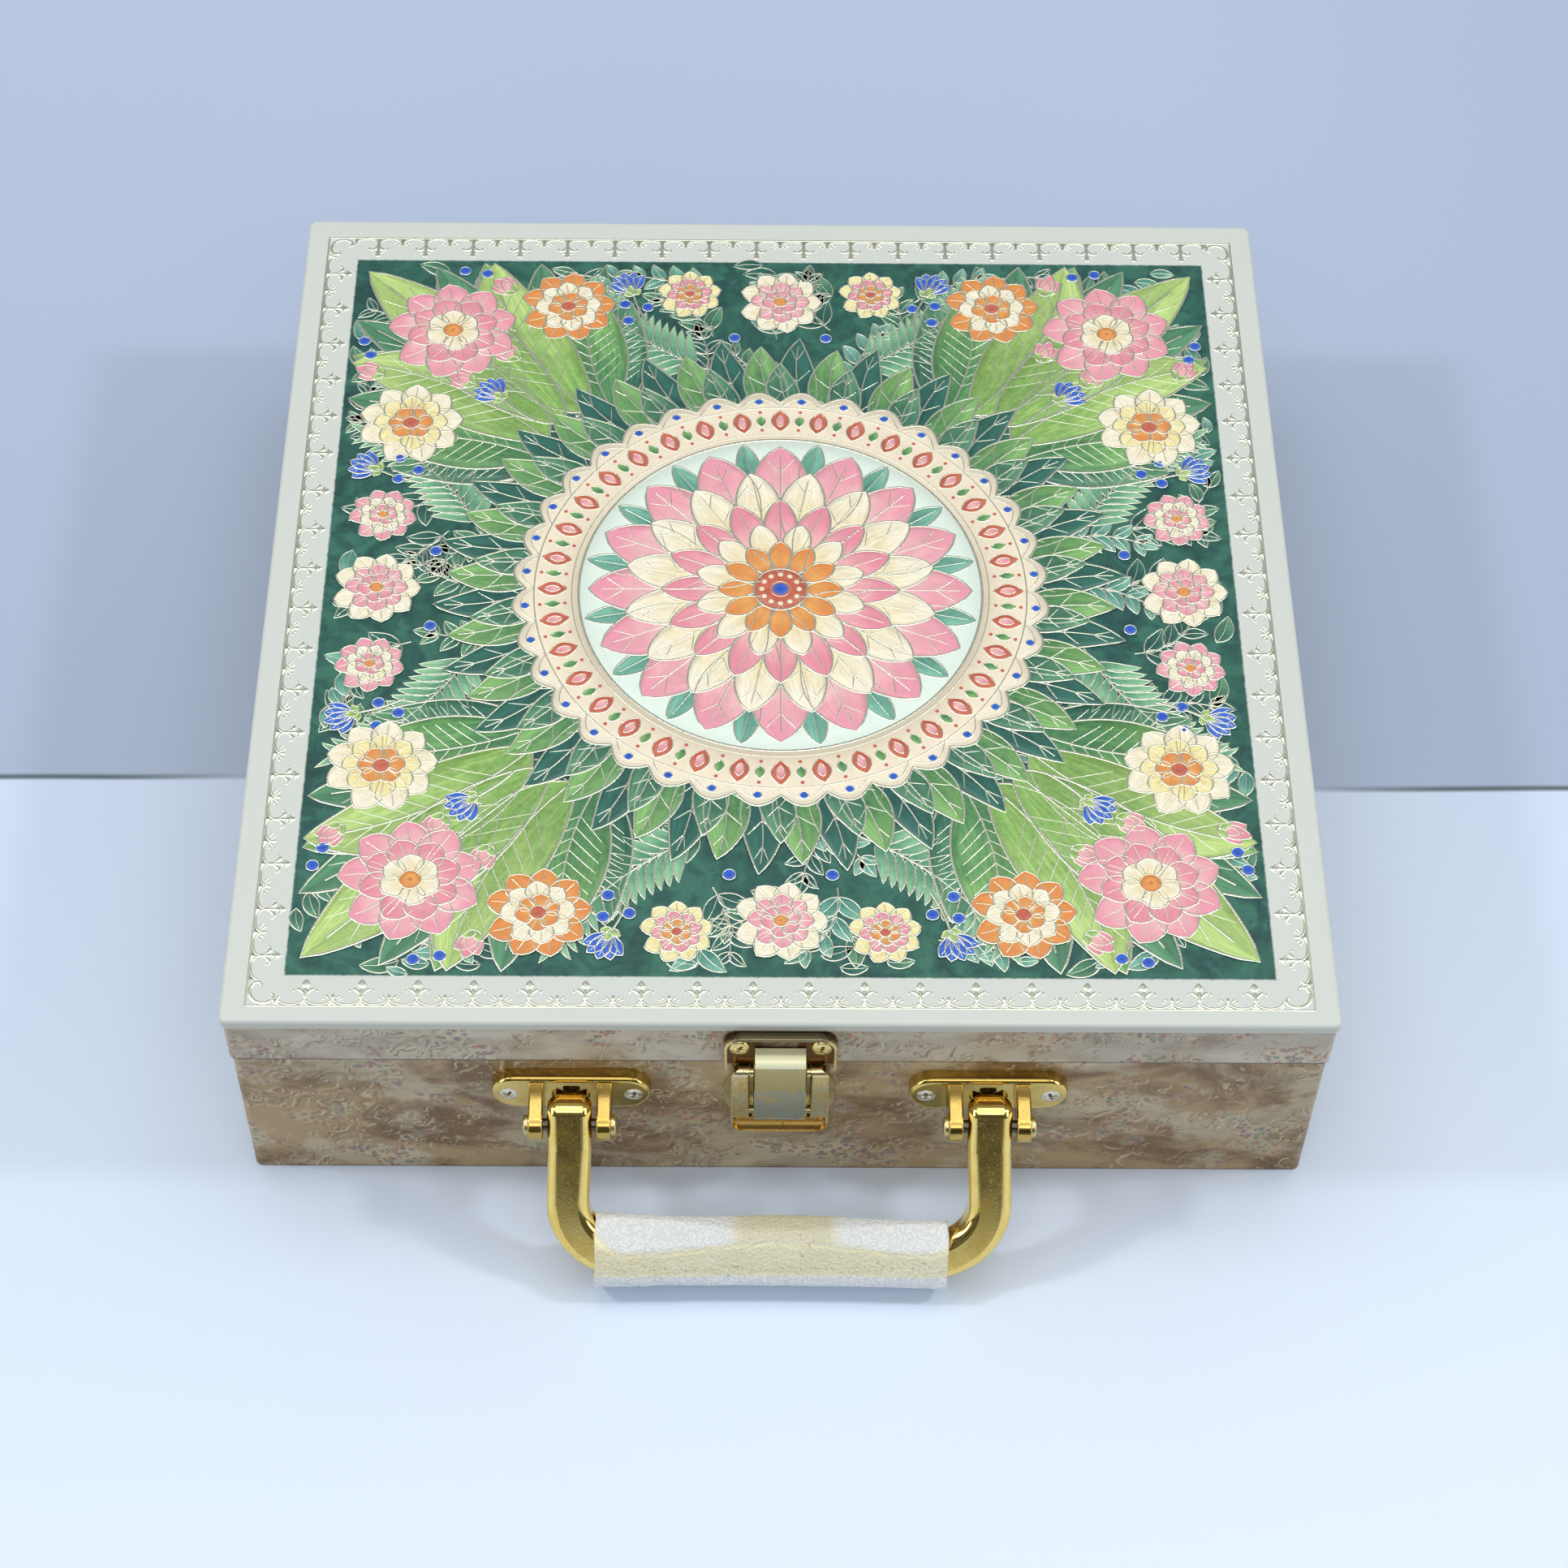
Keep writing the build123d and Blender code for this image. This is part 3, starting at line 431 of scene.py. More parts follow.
def scalloped(radius, wave, waves, angle):
    """A radius that swells to |sin| lobes: radius + wave |sin(waves angle / 2)|."""
    return radius + wave * np.abs(np.sin(waves * angle / 2))


def ring(inner, outer, rank, centre, steps, wave, waves):
    """A flat band between a circle and a scalloped edge."""
    angle = around(steps)
    share = np.array([0, 0, 0.33, 0.66, 1, 1])
    radius = inner + (scalloped(outer, wave, waves, angle)[None] - inner) * share[:, None]
    flat = np.asarray(centre) + radius[..., None] * ways(angle)
    points = lifted(flat[None], layer(rank))
    points[:, 0, :, 2] = points[:, -1, :, 2] = SUNK
    uv = np.stack(np.broadcast_arrays(share[:, None], angle[None] / TURN), -1)[None]
    return grid(points[:, ::-1], uv[:, ::-1], loop_columns=True)


# Settings

def tint(name, what, colour):
    """A colour setting."""
    return FloatVectorProperty(name=name, description=what, subtype="COLOR", size=3,
                               min=0, max=1, default=colour)


def length(name, what, value, lowest=0):
    """A length setting, given in millimetres."""
    return FloatProperty(name=name, description=what, default=value * MM, min=lowest * MM,
                         subtype="DISTANCE", unit="LENGTH", precision=5)


class SWEETBOX_PG_print(PropertyGroup):
    sheet: tint("Sheet", "Laminated cream sheet on the lid", srgb(206, 212, 206))
    leaf_dark: tint("Deep leaf", "Painted ground, and leaves in shade", srgb(38, 92, 82))
    leaf_mid: tint("Middle leaf", "Washes over the painted ground", srgb(84, 148, 104))
    leaf_light: tint("Light leaf", "Painted leaves in sun", srgb(118, 168, 84))
    sky: tint("Sky", "Pale ground of the medallion", srgb(176, 220, 212))
    stone: tint("Stone", "Cream band of the medallion", srgb(228, 215, 190))
    clay: tint("Clay", "Inlays of the band", srgb(190, 92, 74))
    rose: tint("Rose", "Rose petals", srgb(226, 138, 158))
    amber: tint("Amber", "Amber petals", srgb(222, 140, 74))
    cobalt: tint("Cobalt", "Berries and small bells", srgb(32, 70, 176))
    foil: tint("Foil", "Hot-stamped foil", srgb(226, 230, 208))
    panel_width: length("Panel width", "Width of the painted panel", 227.0)
    panel_depth: length("Panel depth", "Depth of the painted panel", 229.5)
    panel_middle: length("Panel middle", "Middle of the panel, front to back", -1.25, -20)
    border_width: length("Border width", "Outside width of the foil border", 242.8)
    border_depth: length("Border depth", "Outside depth of the foil border", 245.5)
    fleurs: IntProperty(name="Fleurs", description="Fleurs along each side", default=18, min=4)


class SWEETBOX_PG_paper(PropertyGroup):
    taupe: tint("Taupe", "Ground of the side paper", srgb(174, 148, 106))
    brown: tint("Brown", "Dark clouds of the side paper", srgb(120, 88, 50))
    haze: tint("Haze", "Pale clouds of the side paper", srgb(208, 196, 166))
    lace_highlight: tint("Thread", "Lit side of the drawn lace", srgb(216, 198, 162))
    shadow: tint("Shadow", "Shaded side of the drawn lace", srgb(104, 78, 48))
    rust: tint("Rust", "Tiny flowers", srgb(164, 98, 76))
    plum: tint("Plum", "Tiny flowers", srgb(110, 80, 112))
    sage: tint("Sage", "Tiny leaves", srgb(112, 126, 104))
    hatch: length("Net", "Pitch of the fine net lines", 0.62)


class SWEETBOX_PG_metal(PropertyGroup):
    gold: tint("Gold", "Plating of the handle", srgb(244, 216, 132))
    brass: tint("Brass", "Plating of the latch", srgb(214, 194, 138))
    nickel: tint("Nickel", "Screws", srgb(220, 214, 196))
    worn: tint("Worn link", "Link where the plating has worn", srgb(180, 182, 168))


class SWEETBOX_PG_studio(PropertyGroup):
    floor: tint("Floor", "Pale floor", srgb(228, 240, 255))
    backdrop: tint("Backdrop", "Shaded paper behind", srgb(168, 183, 208))
    lamp: FloatProperty(name="Lamp", description="Power of the soft box above", default=7.0,
                        min=0, subtype="POWER", unit="POWER")
    sky: FloatProperty(name="Room light", description="Light from all round", default=0.5,
                       min=0)


def settings(group):
    """The scene's settings of this group."""
    return getattr(bpy.context.scene, "sweetbox_" + group)


# The print on the lid

def paler(colour, by):
    """A linear colour made brighter, no part above 1."""
    return tuple(min(1, c * by) for c in colour)


def painted(name, colour, tip, ridge, heart, halves):
    """Watercolour: a colour that turns to its tip colour along the blade, with soft blooms of
    water. Unless halves is None it has brush strokes, one half in shade and a darker rim."""
    shader = Shader(name)
    x, y, _ = shader.place()
    at = shader.vector(x, y)
    along, across = shader.along(0), shader.along(1)
    bloom = shader.noise(at, 9.0, 3.0, 0.6)
    grain = shader.noise(at, 1.6, 3.0, 0.6)
    dark = tuple(c * 0.5 for c in colour)
    tone = shader.mix((along + (bloom - 0.5) * 0.9).over(0.52, 0.4), colour, tip)
    if heart is not None:
        tone = shader.mix(along.under(0.2, 0.2), tone, heart)
    if halves is not None:
        strokes = shader.noise(shader.vector(along * 4.0, across * 20.0, x * 0.11 + y * 0.13),
                               1.0, 2.0, 0.55)
        rim = abs(across - 0.5).over(0.43, 0.06) * 0.22
        tone = shader.coats(tone, (strokes.over(0.56, 0.14) * 0.3, dark),
                            (strokes.under(0.42, 0.12) * 0.25, paler(tip, 1.35)),
                            ((across.over(0.5, 0.03) * halves).high(rim), dark))
    if ridge:
        tone = shader.mix(abs(across - 0.5).under(0.1, 0.1) * ridge, tone, dark)
    tone = shader.mix(grain.over(0.5, 0.3) * 0.2, tone, paler(tip, 1.3))
    return shader.done(colour=tone, rough=0.42, gloss=0.5, normal=shader.bump(grain, 0.05))


def foil_material(name, colour, rough):
    """Stamped foil: pale metal with a fine crinkle that breaks its highlights into sparkle."""
    shader = Shader(name)
    at = shader.vector(*shader.place())
    crinkle = shader.noise(at, 0.5, 2.0, 0.6)
    waves = shader.noise(at, 2.4, 1.0, 0.5)
    tone = shader.mix(waves.over(0.5, 0.2) * 0.3, colour, srgb(246, 248, 236))
    return shader.done(colour=tone, metal=0.8, rough=rough + crinkle * 0.12,
                       normal=shader.bump(crinkle + waves, 0.5, 0.12))


def sheet_material(prints):
    """The cream sheet, and on it the painted ground: a panel of deep foliage and washes."""
    shader = Shader("top_sheet_print")
    x, y, z = shader.place()
    y = y - prints.panel_middle / MM
    at = shader.vector(x, y)
    ragged = (shader.noise(at, 1.5, 2.0) - 0.5) * 0.5
    inside_x = (prints.panel_width / MM / 2 - 0.3) - abs(x)
    inside_y = (prints.panel_depth / MM / 2 - 0.3) - abs(y)
    panel = (inside_x.low(inside_y) + ragged).over(0.2, 0.3) * z.over(LID_TOP - 0.4, 0.2)
    wash = shader.noise(at, 26.0, 4.0, 0.6, 0.6)
    blot = shader.noise(shader.vector(x + 70, y), 11.0, 3.0, 0.6, 1.2)
    ground = shader.coats(prints.leaf_dark, (wash.over(0.5, 0.16), srgb(26, 72, 74)),
                          (blot.over(0.55, 0.08) * 0.6, srgb(60, 120, 104)),
                          (blot.under(0.4, 0.06) * 0.6, srgb(16, 48, 56)),
                          (shader.noise(at, 2.0, 3.0).over(0.5, 0.3) * 0.16, prints.leaf_mid))
    # where the sheet turns down over the lid's edge its side is greyed: painted shade
    cloud, edge = shader.noise(at, 60.0, 2.0).over(0.5, 0.3), z.under(LID_TOP - 1.0, 0.5)
    tone = shader.coats(prints.sheet, (cloud * 0.3, srgb(211, 216, 208)),
                        (edge * 0.7, srgb(188, 187, 172)), (panel, ground))
    fine = shader.noise(at, 0.35, 2.0, 0.6)
    return shader.done(colour=tone, rough=0.38 + fine * 0.1,
                       normal=shader.bump(fine, 0.06, 0.05))


def bearing(points):
    """The angle at which each point stands round the middle."""
    return np.arctan2(points[:, 1], points[:, 0])


def mirrored(points):
    """Each point, and its mirror images left and right, front and back."""
    points = np.atleast_2d(points).astype(float)
    return np.concatenate([points * [a, b] for a in (1, -1) for b in (1, -1)])


def fans(bases, aims, spread, count, reach, width, rank, fat, start=0.0, droop=0.25, steps=13):
    """Blades that open like a hand: count of them over the spread round each base's aim.

    The blade at t, from -1 to 1 across the fan, is reach (1 - droop t^2) long; the middle ones
    lie on top.
    """
    bend_share, round_share = -0.16, 0.75
    bases = np.atleast_2d(bases).astype(float)
    t = np.linspace(-1, 1, count)
    way = ways(np.reshape(aims, (-1, 1)) + t * spread / 2)
    first = bases[:, None] + way * start
    last = bases[:, None] + way * (reach * (1 - droop * t ** 2))[None, :, None]
    ranks = rank + np.tile(np.round((1 - np.abs(t)) * (count // 2)), len(bases))
    return Blades(first.reshape(-1, 2), last.reshape(-1, 2), np.tile(bend_share * t, len(bases)),
                  width, fat, ranks, round_share, steps)


# The garden's design. Lengths are in millimetres from the panel's middle, a rank is a layer's.

PANEL_EDGE = 1.2                   # leaves keep this far inside the panel
STEM_EDGE = 3                      # and the stems of the undergrowth this much farther
GARDEN_SEED = 11
GRID_REACH, GRID_COUNT, GRID_SHAKE = 104, 13, 4.5
SPRIG_HOLE = 62                    # no undergrowth starts nearer to the middle
SPRIGS = (("deep", 0, 1), ("leaf_dark", 1, 1), ("teal", 2, 3))        # fill, third, rank
FERN_ROOTS = ((17, 74), (74, 17))
CORNER_BASE = (41, 41)
CORNER_STEPS = 21
# fill, spread, count, reach, width, rank, droop
CORNER_HANDS = (("leaf_dark", 1.62, 6, 88, 17, 7, 0.34), ("leaf_mid", 1.3, 5, 92, 20, 10, 0.3),
                ("leaf_light", 0.72, 3, 97, 23, 14, 0.12))
WREATH_ROOT, WREATH_COUNT, WREATH_TWIST = 58, 26, 0.06
# fill, offset, rank, reach, width
WREATH = (("deep", 0.0, 17, 86, 10), ("leaf_mid", 0.5, 18, 83, 11),
          ("leaf_dark", 0.25, 19, 77, 8.5))
SKY_RADIUS = 51.5
BAND_INNER, BAND_OUTER, BAND_STEPS = 50, 63, 432
SCALLOP_RISE, SCALLOPS = 3.4, 36
EDGE_LINE_INSET = 2.0
BAND_LINES = ((50, 0.7), (51.7, 0.32), (61, 0.4))                     # radius, line width
BAND_BERRIES, BAND_DOTS = 63.3, (53.4, 59.6)                          # radii of their rings
# fill, offset, inner, outer, width, rank
INLAYS = (("clay", 0.0, 52.8, 60.2, 4.6, 22), ("rose", 0.0, 54.4, 58.4, 2.0, 23),
          ("leaf_mid", 0.5, 54.6, 58.4, 2.2, 22))
# fill, petals, inner, outer, width, rank, twist, midrib, veins
ROSETTE = (("teal", 16, 30, 49.0, 6.0, 21, 0.5, 0.3, 0),
           ("blush", 16, 16, 47.5, 14.5, 23, 0.0, 0.3, 3),
           ("cream", 16, 14, 39, 11.0, 25, 0.5, 0.3, 3),
           ("rose", 16, 9, 29.5, 8.2, 27, 0.0, 0.3, 0),
           ("cream", 12, 8, 21.5, 7.0, 29, 0.5, None, 0),
           ("amber", 12, 5, 15.5, 5.6, 31, 0.0, None, 0))
# fill, spots, radius, rank, foil line, dome, steps
ROSETTE_HEART = (("clay", (0, 0), 6.6, 33, 0.5, 0.05, 36),
                 ("cream", ways(around(12)) * 4.6, 0.7, 34, 0.0, 0.03, 10),
                 ("cobalt", (0, 0), 2.4, 34, 0.35, 0.05, 20))
BLOOM_RINGS = ((1.0, 9), (0.7, 8), (0.42, 6))                         # size share, petals
# fills of the three rings, places, radius, rank, twist
BLOOMS = ((("blush", "rose", "cream"), mirrored([[86, 88]]), 17.0, 19, 0.3),
          (("cream", "butter", "amber"), mirrored([[95, 55]]), 13.5, 19, 0.8),
          (("amber", "cream", "amber"), mirrored([[56, 97]]), 12.5, 19, 0.1),
          (("blush", "cream", "rose"), mirrored([[100, 24]]), 8.5, 12, 0.5),
          (("butter", "rose", "amber"), mirrored([[24, 102]]), 8.5, 12, 0.2),
          (("cream", "blush", "rose"), [[0, 99], [0, -99], [100, 0], [-100, 0]], 11.0, 19, 0.0))
BELLS = ((72, 64), (39, 102), (102, 39))
BUDS = ((68, 78), (79, 69), (103, 72), (70, 102))
BERRIES = ((40, 92), (35, 97), (41, 98), (92, 39), (97, 36), (97, 43), (109, 84), (84, 110),
           (107, 79), (78, 109), (12, 86), (86, 12))


class Garden:
    """The printed garden: fills by their paint, and foil lines by the piece they belong to."""

    def __init__(self, prints):
        self.middle = np.array([0.0, prints.panel_middle / MM])
        self.limit = np.array([prints.panel_width, prints.panel_depth]) / MM / 2 - PANEL_EDGE
        self.rng = np.random.default_rng(GARDEN_SEED)
        self.lines = {"leaves": [], "fronds": [], "band": [], "rosette": [], "blooms": []}
        self.fills = {}

    def add(self, kind, blades, outline, rib=None, veins=0, where="leaves"):
        """Blades drawn round the panel's middle, with their foil lines."""
        blades.spine = blades.spine + self.middle
        self.fills.setdefault(kind, []).append(blades.fill())
        self.lines[where].append(blades.outline(outline))
        if rib:
            self.lines[where].append(blades.midrib(rib))
        if veins:
            self.lines[where].extend(blades.veins(veins))

    def stems(self, paths, rank, width):
        """Foil lines along these paths, drawn round the panel's middle."""
        self.lines["leaves"].append(bead(paths + self.middle, width, layer(rank)))

    def dots(self, kind, spots, radius, rank, line=0.0, dome=0.04, steps=14):
        """Domed spots, with a foil ring where a line width is given."""
        spots = np.atleast_2d(spots) + self.middle
        self.fills.setdefault(kind, []).append(discs(spots, radius, rank, steps, dome=dome))
        if line:
            self.lines["blooms"].append(bead(circle_path(spots, radius, steps + 4), line,
                                             layer(rank), closed=True))

    def sprigs(self, roots, aims, reach, pairs, leaf, width, rank, hole, curl=0.3, spread=0.8,
               fat=0.85):
        """Bent stems with leaf pairs, shorter towards the tip: the stems' paths and the leaves.

        A stem is a bezier to reach along its aim, bowed sideways by curl of its length. Its
        leaves leave it at the spread angle, and those outside the panel or within the hole round
        its middle are left out.
        """
        way = ways(aims)
        side = np.stack([-way[:, 1], way[:, 0]], -1)
        bow = self.rng.uniform(-curl, curl, len(roots)) if np.ndim(curl) == 0 else curl
        tips = roots + way * reach
        bows = (roots + tips) / 2 + side * (bow * reach)[:, None]
        t = np.linspace(0.12, 0.97, pairs)[None, :, None]
        root, bowed, tip = roots[:, None], bows[:, None], tips[:, None]
        spots = (1 - t) ** 2 * root + 2 * t * (1 - t) * bowed + t ** 2 * tip
        along = 2 * (1 - t) * (bowed - root) + 2 * t * (tip - bowed)
        angle = np.arctan2(along[..., 1], along[..., 0])
        size = leaf * (1 - 0.45 * np.broadcast_to(t[..., 0], angle.shape))
        last = spots[:, -1]
        # one leaf to the left of each spot, one to the right, and one at the stem's tip
        starts = np.concatenate([spots.reshape(-1, 2)] * 2 + [last])
        ends = np.concatenate([(spots + ways(angle + hand * spread) * size[..., None])
                               .reshape(-1, 2) for hand in (1, -1)]
                              + [last + ways(angle[:, -1]) * leaf * 0.7])
        bends = np.repeat([-0.14, 0.14, 0.0], [angle.size, angle.size, len(roots)])
        wide = np.concatenate([(size / leaf * width).ravel()] * 2
                              + [np.full(len(roots), width * 0.7)])
        kept = np.all(np.abs(ends) < self.limit, -1) & (np.linalg.norm(ends, axis=-1) > hole)
        leaves = Blades(starts[kept], ends[kept], bends[kept], wide[kept], fat,
                        rank + np.arange(kept.sum()) % 2, steps=9)
        return bezier(roots, bows, tips, 11), leaves

    def undergrowth(self):
        """Sprigs on a shaken grid, turned away from the middle."""
        across = np.linspace(-GRID_REACH, GRID_REACH, GRID_COUNT)
        spots = np.stack(np.meshgrid(across, across), -1).reshape(-1, 2)
        spots = spots + self.rng.uniform(-GRID_SHAKE, GRID_SHAKE, spots.shape)
        spots = spots[np.linalg.norm(spots, axis=-1) > SPRIG_HOLE]
        aims = bearing(spots) + self.rng.uniform(-1.1, 1.1, len(spots))
        third = np.arange(len(spots)) % 3
        for kind, which, rank in SPRIGS:
            paths, leaves = self.sprigs(spots[third == which], aims[third == which], reach=19,
                                        pairs=4, leaf=9.5, width=4.6, rank=rank,
                                        hole=WREATH_ROOT)
            inside = np.all(np.abs(paths) < self.limit - STEM_EDGE, (1, 2))
            self.stems(paths[inside], rank, width=0.34)
            self.add(kind, leaves, outline=0.36, rib=0.22)

    def ferns(self):
        """Ferns that curl from the wreath to the edges, mirrored in pairs."""
        roots = np.concatenate([mirrored([root]) for root in FERN_ROOTS])
        hand = np.where(np.abs(roots[:, 0]) > np.abs(roots[:, 1]), 1, -1) * np.sign(
            roots[:, 0] * roots[:, 1])
        paths, leaves = self.sprigs(roots, bearing(roots) + 0.62 * hand, reach=46, pairs=15,
                                    leaf=12.5, width=2.9, rank=5, hole=60, curl=0.16 * hand,
                                    spread=0.95, fat=0.8)
        self.stems(paths, 6, width=0.5)
        self.add("fern", leaves, outline=0.32, where="fronds")

    def corner_hands(self):
        """Long leaves that rise from behind the wreath, with their tips held in the panel."""
        corners = mirrored([CORNER_BASE])
        limit = self.limit - 0.6
        for kind, spread, count, reach, width, rank, droop in CORNER_HANDS:
            leaves = fans(corners, bearing(corners), spread, count, reach, width, rank, fat=0.9,
                          start=20, droop=droop, steps=CORNER_STEPS)
            tips = leaves.spine[:, -1:]
            pull = np.linspace(0, 1, CORNER_STEPS)[None, :, None]
            leaves.spine = leaves.spine + (np.clip(tips, -limit, limit) - tips) * pull
            self.add(kind, leaves, outline=0.6, rib=0.55, veins=8, where="fronds")

    def wreath(self):
        """Three rings of broad leaves round the band."""
        for kind, offset, rank, reach, width in WREATH:
            angle = (np.arange(WREATH_COUNT) + offset) / WREATH_COUNT * TURN
            leaves = Blades(ways(angle) * WREATH_ROOT, ways(angle + WREATH_TWIST) * reach,
                            bend=0.13, width=width, fat=0.85, rank=rank)
            self.add(kind, leaves, outline=0.5, rib=0.4, veins=3, where="fronds")

    def band(self):
        """A scalloped stone band with clay lozenges between foil circles, on a pale ground."""
        rank = 21
        self.fills["sky"] = [discs(self.middle, SKY_RADIUS, rank - 1, 180, rings=8)]
        self.fills["stone"] = [ring(BAND_INNER, BAND_OUTER, rank, self.middle, BAND_STEPS,
                                    SCALLOP_RISE, SCALLOPS)]
        turns = around(BAND_STEPS)
        edge = scalloped(BAND_OUTER, SCALLOP_RISE, SCALLOPS, turns)
        for radius, line in ((edge, 0.6), (edge - EDGE_LINE_INSET, 0.3), *BAND_LINES):
            path = self.middle + ways(turns) * np.reshape(radius, (-1, 1))
            self.lines["band"].append(bead(path[None], line, layer(rank), closed=True))
        for kind, offset, inner, outer, width, inlay_rank in INLAYS:
            angle = (np.arange(SCALLOPS) + offset) / SCALLOPS * TURN
            lozenges = Blades(ways(angle) * inner, ways(angle) * outer, bend=0, width=width,
                              fat=1.0, round_=0.8, rank=inlay_rank, steps=9)
            self.add(kind, lozenges, outline=0.3, where="band")
        between = ways(np.arange(SCALLOPS) / SCALLOPS * TURN + TURN / SCALLOPS / 2)
        self.dots("cobalt", between * BAND_BERRIES, radius=1.05, rank=rank + 1, line=0.25)
        for place in BAND_DOTS:
            self.dots("clay", between * place, radius=0.5, rank=rank + 1, dome=0.02, steps=8)

    def rosette(self):
        """Rings of petals, with small buds between the longest ones, round a beaded heart."""
        for kind, petals, inner, outer, width, rank, twist, rib, veins in ROSETTE:
            angle = (np.arange(petals) + twist) / petals * TURN
            leaves = Blades(ways(angle) * inner, ways(angle) * outer, bend=0, width=width,
                            fat=1.25, round_=0.7, rank=rank + np.arange(petals) % 2, steps=17)
            self.add(kind, leaves, 0.5, rib, veins, "rosette")
        for row in ROSETTE_HEART:
            self.dots(*row)

    def bloom(self, kinds, spots, radius, rank, twist):
        """A round flower: three hands of broad petals, one in another, and a domed heart."""
        spots = np.atleast_2d(spots).astype(float)
        for k, (kind, (share, count)) in enumerate(zip(kinds, BLOOM_RINGS)):
            size = radius * share
            petals = fans(spots, np.full(len(spots), twist + k * 0.4), TURN * (count - 1) / count,
                          count, size, size * 5.2 / count, rank, fat=1.45, start=size * 0.1,
                          droop=0.0)
            petals.floor = np.tile(layer(rank + 2 * k + np.arange(count) % 2), len(spots))
            self.add(kind, petals, outline=0.42, rib=0.24 if k < 2 else None, where="blooms")
        heart = "amber" if kinds[-1] != "amber" else "clay"
        self.dots(heart, spots, radius * 0.15, rank + 7, line=0.3, dome=0.05)

    def bells(self):
        """Open hands of blue petals over green ones, on stems."""
        bells = np.concatenate([mirrored([bell]) for bell in BELLS])
        aims = bearing(bells)
        feet = bells - ways(aims) * 12
        bends = bells - ways(aims) * 5 + ways(aims + 1.57)
        self.stems(bezier(feet, bends, bells, 9), 18, width=0.6)
        petals = fans(bells, aims, spread=1.5, count=5, reach=8.2, width=3.4, rank=18, fat=1.3,
                      droop=0.12)
        self.add("cobalt", petals, outline=0.36, rib=0.2, where="blooms")
        cups = fans(bells - ways(aims) * 0.6, aims, spread=2.3, count=3, reach=3.6, width=1.8,
                    rank=21, fat=0.9)
        self.add("leaf_light", cups, outline=0.3, where="blooms")

    def buds(self):
        """Rose buds in two sepals, and blue berries, between the blooms."""
        buds = mirrored(BUDS)
        aims = bearing(buds) + 0.3
        petals = fans(buds, aims, spread=0.9, count=3, reach=8.0, width=4.0, rank=17, fat=1.0,
                      droop=0.15)
        self.add("rose", petals, outline=0.4, where="blooms")
        sepals = fans(buds, aims, spread=1.6, count=2, reach=3.4, width=1.8, rank=20, fat=0.9,
                      droop=0.0)
        self.add("leaf_light", sepals, outline=0.3, where="blooms")
        self.dots("cobalt", mirrored(BERRIES), radius=1.5, rank=18, line=0.28, dome=0.06)


def paints(prints):
    """Each paint's colour, tip colour, ridge, heart colour, and shade of one half."""
    return {"deep": (srgb(26, 74, 72), srgb(52, 112, 98), 0.3, None, 0.25),
            "leaf_dark": (prints.leaf_dark, srgb(92, 150, 112), 0.3, None, 0.35),
            "teal": (srgb(52, 122, 112), srgb(128, 190, 168), 0.25, None, 0.3),
            "fern": (srgb(70, 136, 108), srgb(150, 204, 160), 0, None, 0.2),
            "leaf_mid": (srgb(62, 126, 84), srgb(136, 188, 112), 0.3, None, 0.4),
            "leaf_light": (prints.leaf_light, srgb(190, 218, 134), 0.25, None, 0.35),
            "sky": (prints.sky, srgb(222, 238, 226), 0, None, None),
            "stone": (prints.stone, srgb(238, 226, 202), 0, None, None),
            "clay": (prints.clay, srgb(206, 112, 88), 0, None, 0.2),
            "rose": (srgb(244, 196, 190), prints.rose, 0.1, srgb(232, 150, 120), 0.1),
            "blush": (srgb(248, 226, 216), srgb(232, 150, 168), 0.1, srgb(240, 200, 150), 0.1),
            "cream": (srgb(240, 220, 158), srgb(246, 240, 216), 0.1, None, 0.08),
            "butter": (srgb(236, 206, 120), srgb(246, 236, 178), 0.1, None, 0.1),
            "amber": (srgb(236, 176, 100), prints.amber, 0.12, srgb(196, 92, 62), 0.12),
            "cobalt": (prints.cobalt, srgb(58, 112, 214), 0, None, 0.15)}


class SWEETBOX_OT_lid_sheet(Operator):
    """Laminated sheet of the lid with its painted ground"""
    bl_idname = "sweetbox.lid_sheet"
    bl_label = "Lid sheet"

    def execute(self, context):
        dress(sheet_material(settings("print")), "lid_top_sheet")
        return {"FINISHED"}


class SWEETBOX_OT_lid_garden(Operator):
    """Printed rosette, band, leaves and flowers with their foil outlines"""
    bl_idname = "sweetbox.lid_garden"
    bl_label = "Lid garden"

    def execute(self, context):
        prints = settings("print")
        garden = Garden(prints)
        for draw in (garden.undergrowth, garden.ferns, garden.corner_hands, garden.wreath,
                     garden.band, garden.rosette):
            draw()
        for row in BLOOMS:
            garden.bloom(*row)
        garden.bells()
        garden.buds()
        looks = paints(prints)
        for name, parts in garden.fills.items():
            material = painted("print_" + name, *looks[name])
            piece("print_" + name, parts, material, "lid")
        shine = foil_material("foil_lines", prints.foil, 0.2)
        for name, parts in garden.lines.items():
            piece("foil_" + name, parts, shine, "lid")
        return {"FINISHED"}


# The foil border

# A stroke is its start, its middle, its end, its width and how late it swells. Lengths are in
# millimetres from the motif's foot on the edge line, with y inwards.
FLEUR = (((0, 2.0), (0, 4), (0, 5.9), 1.25, 0.7), ((0, 4.9), (0, 6.2), (0, 7.4), 2.0, 1.0),
         ((0, 5.7), (0.9, 6.2), (1.35, 5.7), 0.6, 1.2),
         ((0.2, 3.2), (1.4, 5.4), (2.4, 4.4), 1.0, 0.9),
         ((2.1, 4.8), (2.9, 4.6), (2.3, 3.8), 0.7, 1.2))
SPROUT = (((0, 2.0), (0, 2.8), (0, 3.5), 1.0, 1.0),
          ((0.5, 2.0), (1.4, 2.6), (1.5, 3.2), 0.7, 1.2),
          ((1.1, 1.7), (2.0, 1.9), (2.3, 2.6), 0.6, 1.2))
CORNER_LEAF = (((0, 0.3), (0.2, 2.2), (1.2, 3.0), 0.9, 1.0),)
